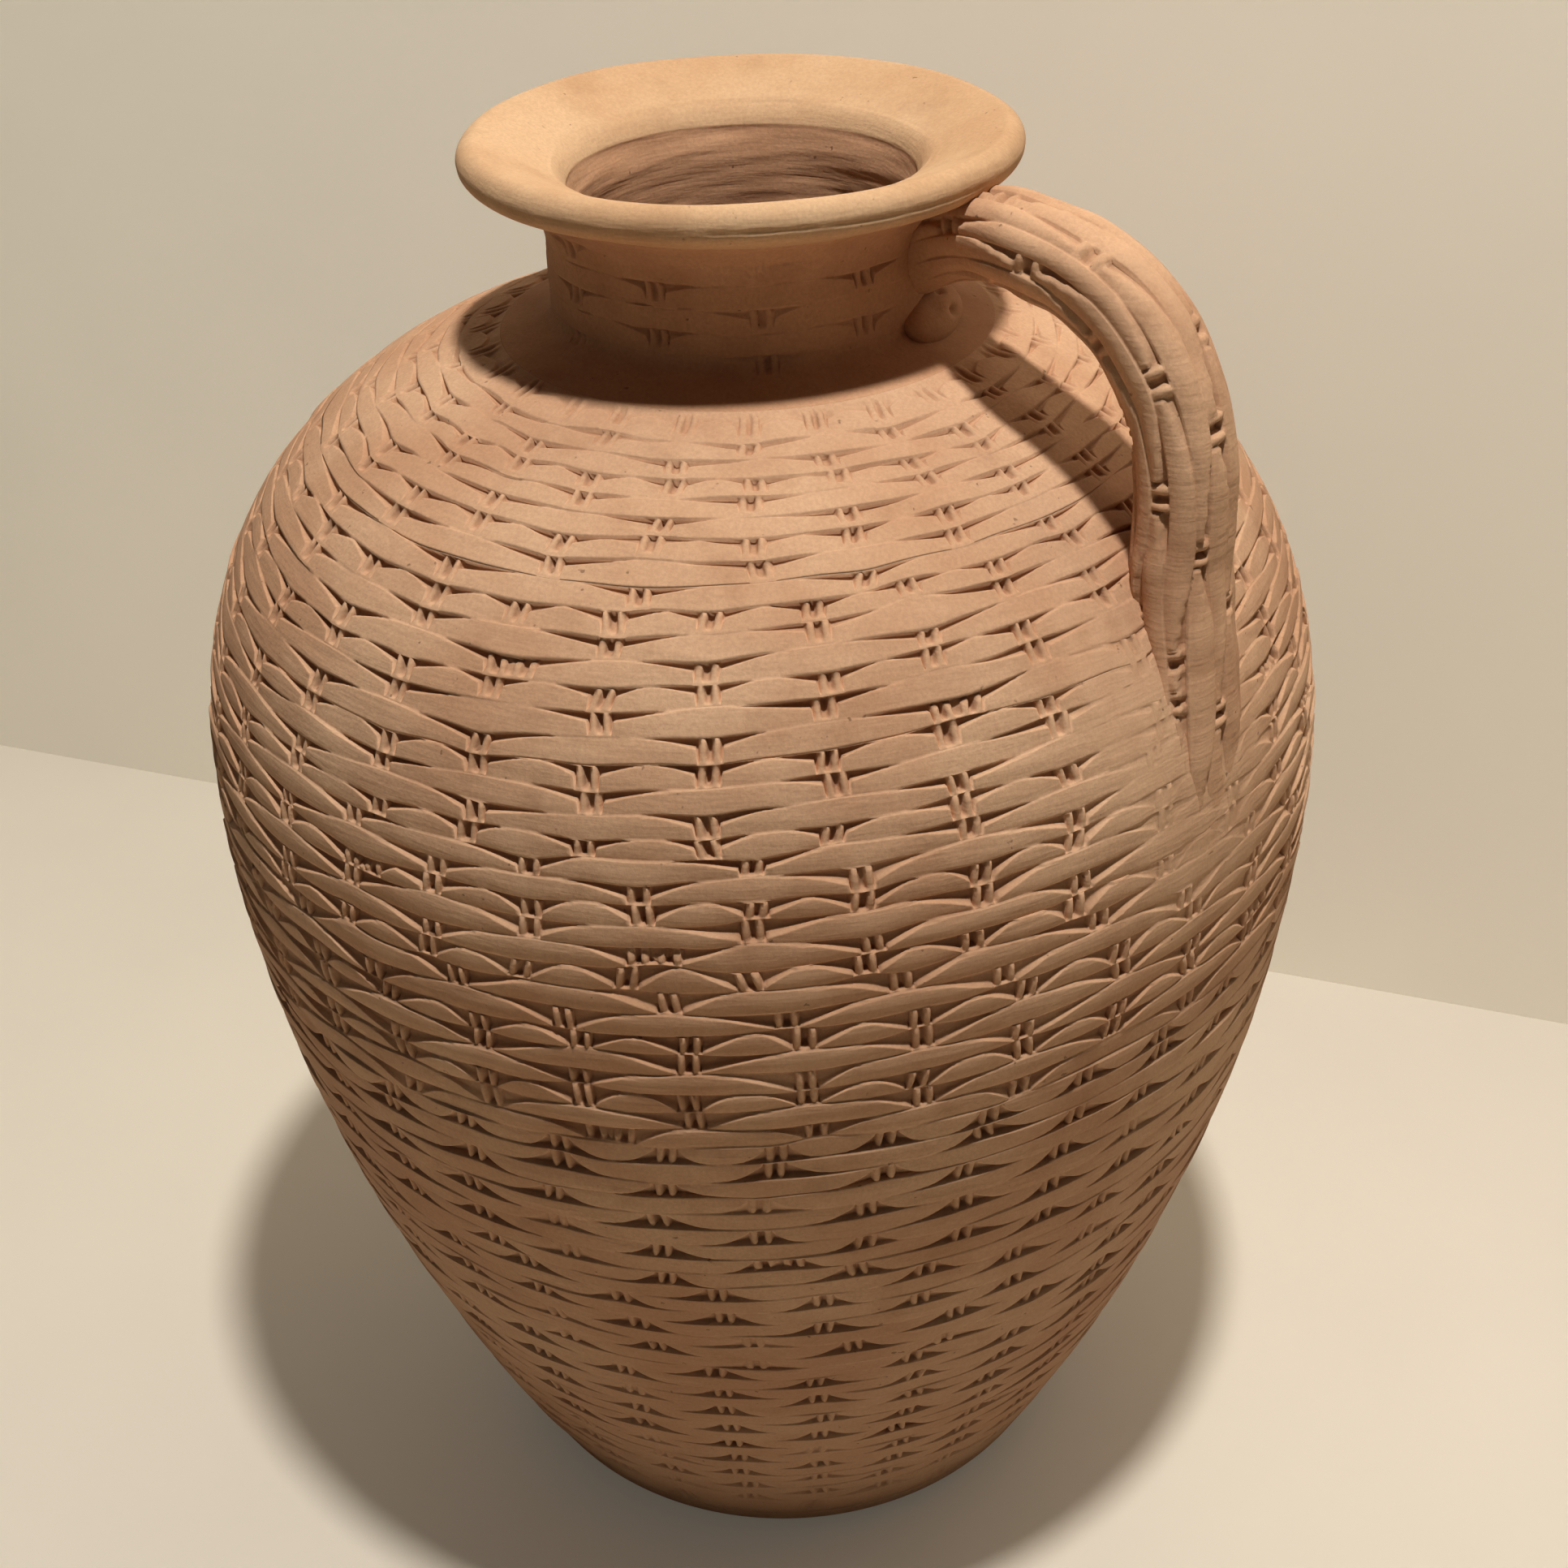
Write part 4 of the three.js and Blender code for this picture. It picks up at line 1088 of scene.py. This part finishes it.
for node_name, wall_piece in build_wall():
    extra = ("tail_patch",) if node_name == "shoulder_wall" else ()
    dress(wall_piece, "wall_clay", "wall_clay", node_name, *extra)
dress(build_floor(), "wall_clay", "foot_clay", "floor_slab")
dress(build_neck(), "neck_clay", "wall_clay", "neck_collar")
dress(build_lip(), "lip_clay", "lip_clay", "lip_coil")
dress(build_handle(), "handle_clay", "handle_clay", "handle_strap", "handle_root")
dress(build_pad(), "neck_clay", "handle_clay", "thumb_pad")

# Camera, where the photograph was taken from
CAMERA_PLACE = (0.3976, -0.4739, 0.6369)
CAMERA_LENS = 50.31
SENSOR_WIDTH = 36.0
CAMERA_DOWN = math.radians(32.243)
CAMERA_YAW = math.radians(-0.521 + 90.0 - HANDLE_AZIMUTH)
CAMERA_ROLL = math.radians(-2.138)


def camera_axes():
    """Directions of the picture's right side, its top and the view, with the camera's roll."""
    flat, drop = math.cos(CAMERA_DOWN), math.sin(CAMERA_DOWN)
    forward = np.array([-math.sin(CAMERA_YAW) * flat, math.cos(CAMERA_YAW) * flat, -drop])
    level = np.array([math.cos(CAMERA_YAW), math.sin(CAMERA_YAW), 0.0])
    upright = np.cross(level, forward)
    right = math.cos(CAMERA_ROLL) * level + math.sin(CAMERA_ROLL) * upright
    up = -math.sin(CAMERA_ROLL) * level + math.cos(CAMERA_ROLL) * upright
    return right, up, forward


right, up, forward = camera_axes()
camera = bpy.data.objects.new("camera", bpy.data.cameras.new("camera"))
bpy.context.scene.collection.objects.link(camera)
camera.data.lens = CAMERA_LENS
camera.data.sensor_width = SENSOR_WIDTH
camera.data.clip_start, camera.data.clip_end = 0.01, 50.0
turned = Matrix((right, up, -forward)).transposed().to_4x4()
camera.matrix_world = Matrix.Translation(CAMERA_PLACE) @ turned
bpy.context.scene.camera = camera

# Floor and backdrop; the line where they meet is given in the picture's own pixels
IMAGE_SIZE = 1932.0
WALL_LINE = ((0.0, 918.0), (1930.0, 1262.0))
STAGE_SIZE = 8.0
STAGE_GLOW = 0.11
PAINT_CLOUDS = (0.3, 0.7)
PAINT_TONE = 0.94


def floor_point(px, py):
    """The place on the floor that shows at a point of the picture."""
    per_pixel = SENSOR_WIDTH / CAMERA_LENS / IMAGE_SIZE
    ray = forward + right * (px - IMAGE_SIZE / 2) * per_pixel - up * (py - IMAGE_SIZE / 2) * per_pixel
    return np.array(CAMERA_PLACE) - ray * CAMERA_PLACE[2] / ray[2]


def stage_plane(name, corners, material):
    mesh = bpy.data.meshes.new(name)
    mesh.from_pydata([tuple(map(float, c)) for c in corners], [], [(0, 1, 2, 3)])
    mesh.materials.append(material)
    plane = bpy.data.objects.new(name, mesh)
    bpy.context.scene.collection.objects.link(plane)


def stage_material(name, colour, rough):
    """Plain paint for the floor and the backdrop."""
    material = bpy.data.materials.new(name)
    tree = Tree(material)
    place = tree.add("ShaderNodeTexCoord").outputs["Object"]
    cloud = tree.noise(place, 3.0, 3.0)
    mottled = tree.mix(tree.ramp(cloud, *PAINT_CLOUDS), colour, darker(colour, PAINT_TONE))
    tree.links.new(mottled, tree.shader.inputs["Base Color"])
    tree.shader.inputs["Roughness"].default_value = rough
    # The camera sees the paint a little brighter than the lamp alone makes it
    tree.shader.inputs["Emission Color"].default_value = colour
    seen_first = tree.add("ShaderNodeLightPath").outputs["Is Camera Ray"]
    glow = tree.maths("MULTIPLY", seen_first, STAGE_GLOW)
    tree.links.new(glow, tree.shader.inputs["Emission Strength"])
    # From behind, the paint is clear, so that the jug can be looked at from every side
    clear = tree.add("ShaderNodeBsdfTransparent").outputs[0]
    behind = tree.add("ShaderNodeNewGeometry").outputs["Backfacing"]
    seen = tree.add("ShaderNodeMixShader", {0: behind, 1: tree.shader.outputs[0], 2: clear})
    tree.links.new(seen.outputs[0], tree.nodes["Material Output"].inputs["Surface"])
    return material


left, right_end = (floor_point(*p) for p in WALL_LINE)
along_wall = (right_end - left) / np.linalg.norm(right_end - left)
towards = np.array([-along_wall[1], along_wall[0], 0.0])
if np.dot(towards, forward) > 0:
    towards = -towards
middle = (left + right_end) / 2
near = middle + towards * STAGE_SIZE
high = np.array([0.0, 0.0, STAGE_SIZE / 2])
reach = along_wall * STAGE_SIZE
stage_plane(
    "floor",
    [middle - reach, near - reach, near + reach, middle + reach],
    stage_material("floor_paint", linear(222, 210, 190), 0.7),
)
stage_plane(
    "backdrop",
    [middle - reach, middle + reach, middle + reach + high, middle - reach + high],
    stage_material("backdrop_paint", linear(250, 240, 219), 0.95),
)

# Lamp over the jug; its tilt goes to the picture's right, away from the camera and up
LAMP_TILT = (4.5, -11.5, 55.0)
LAMP_DISTANCE = 1.9
LAMP_SIZE = 0.14
LAMP_POWER = 34.0
AIM = (0.0, 0.0, 0.25)
SKY_STRENGTH = 0.036

lamp_turn = math.radians(90.0 - HANDLE_AZIMUTH)
cosine, sine = math.cos(lamp_turn), math.sin(lamp_turn)
x, y, z = np.array(LAMP_TILT) / np.linalg.norm(LAMP_TILT)
tilt = np.array([x * cosine - y * sine, x * sine + y * cosine, z])
lamp = bpy.data.objects.new("lamp", bpy.data.lights.new("lamp", "AREA"))
bpy.context.scene.collection.objects.link(lamp)
lamp.data.shape = "DISK"
lamp.data.size = LAMP_SIZE
lamp.data.energy = LAMP_POWER
lamp.location = [float(a + LAMP_DISTANCE * t) for a, t in zip(AIM, tilt)]
lamp.rotation_mode = "QUATERNION"
lamp.rotation_quaternion = (-Vector(tilt.tolist())).to_track_quat("-Z", "Y")

world = bpy.data.worlds.new("studio")
bpy.context.scene.world = world
world.use_nodes = True
sky = world.node_tree.nodes["Background"]
sky.inputs["Color"].default_value = (1.0, 1.0, 1.0, 1.0)
sky.inputs["Strength"].default_value = SKY_STRENGTH

bpy.context.scene.view_settings.view_transform = "Standard"
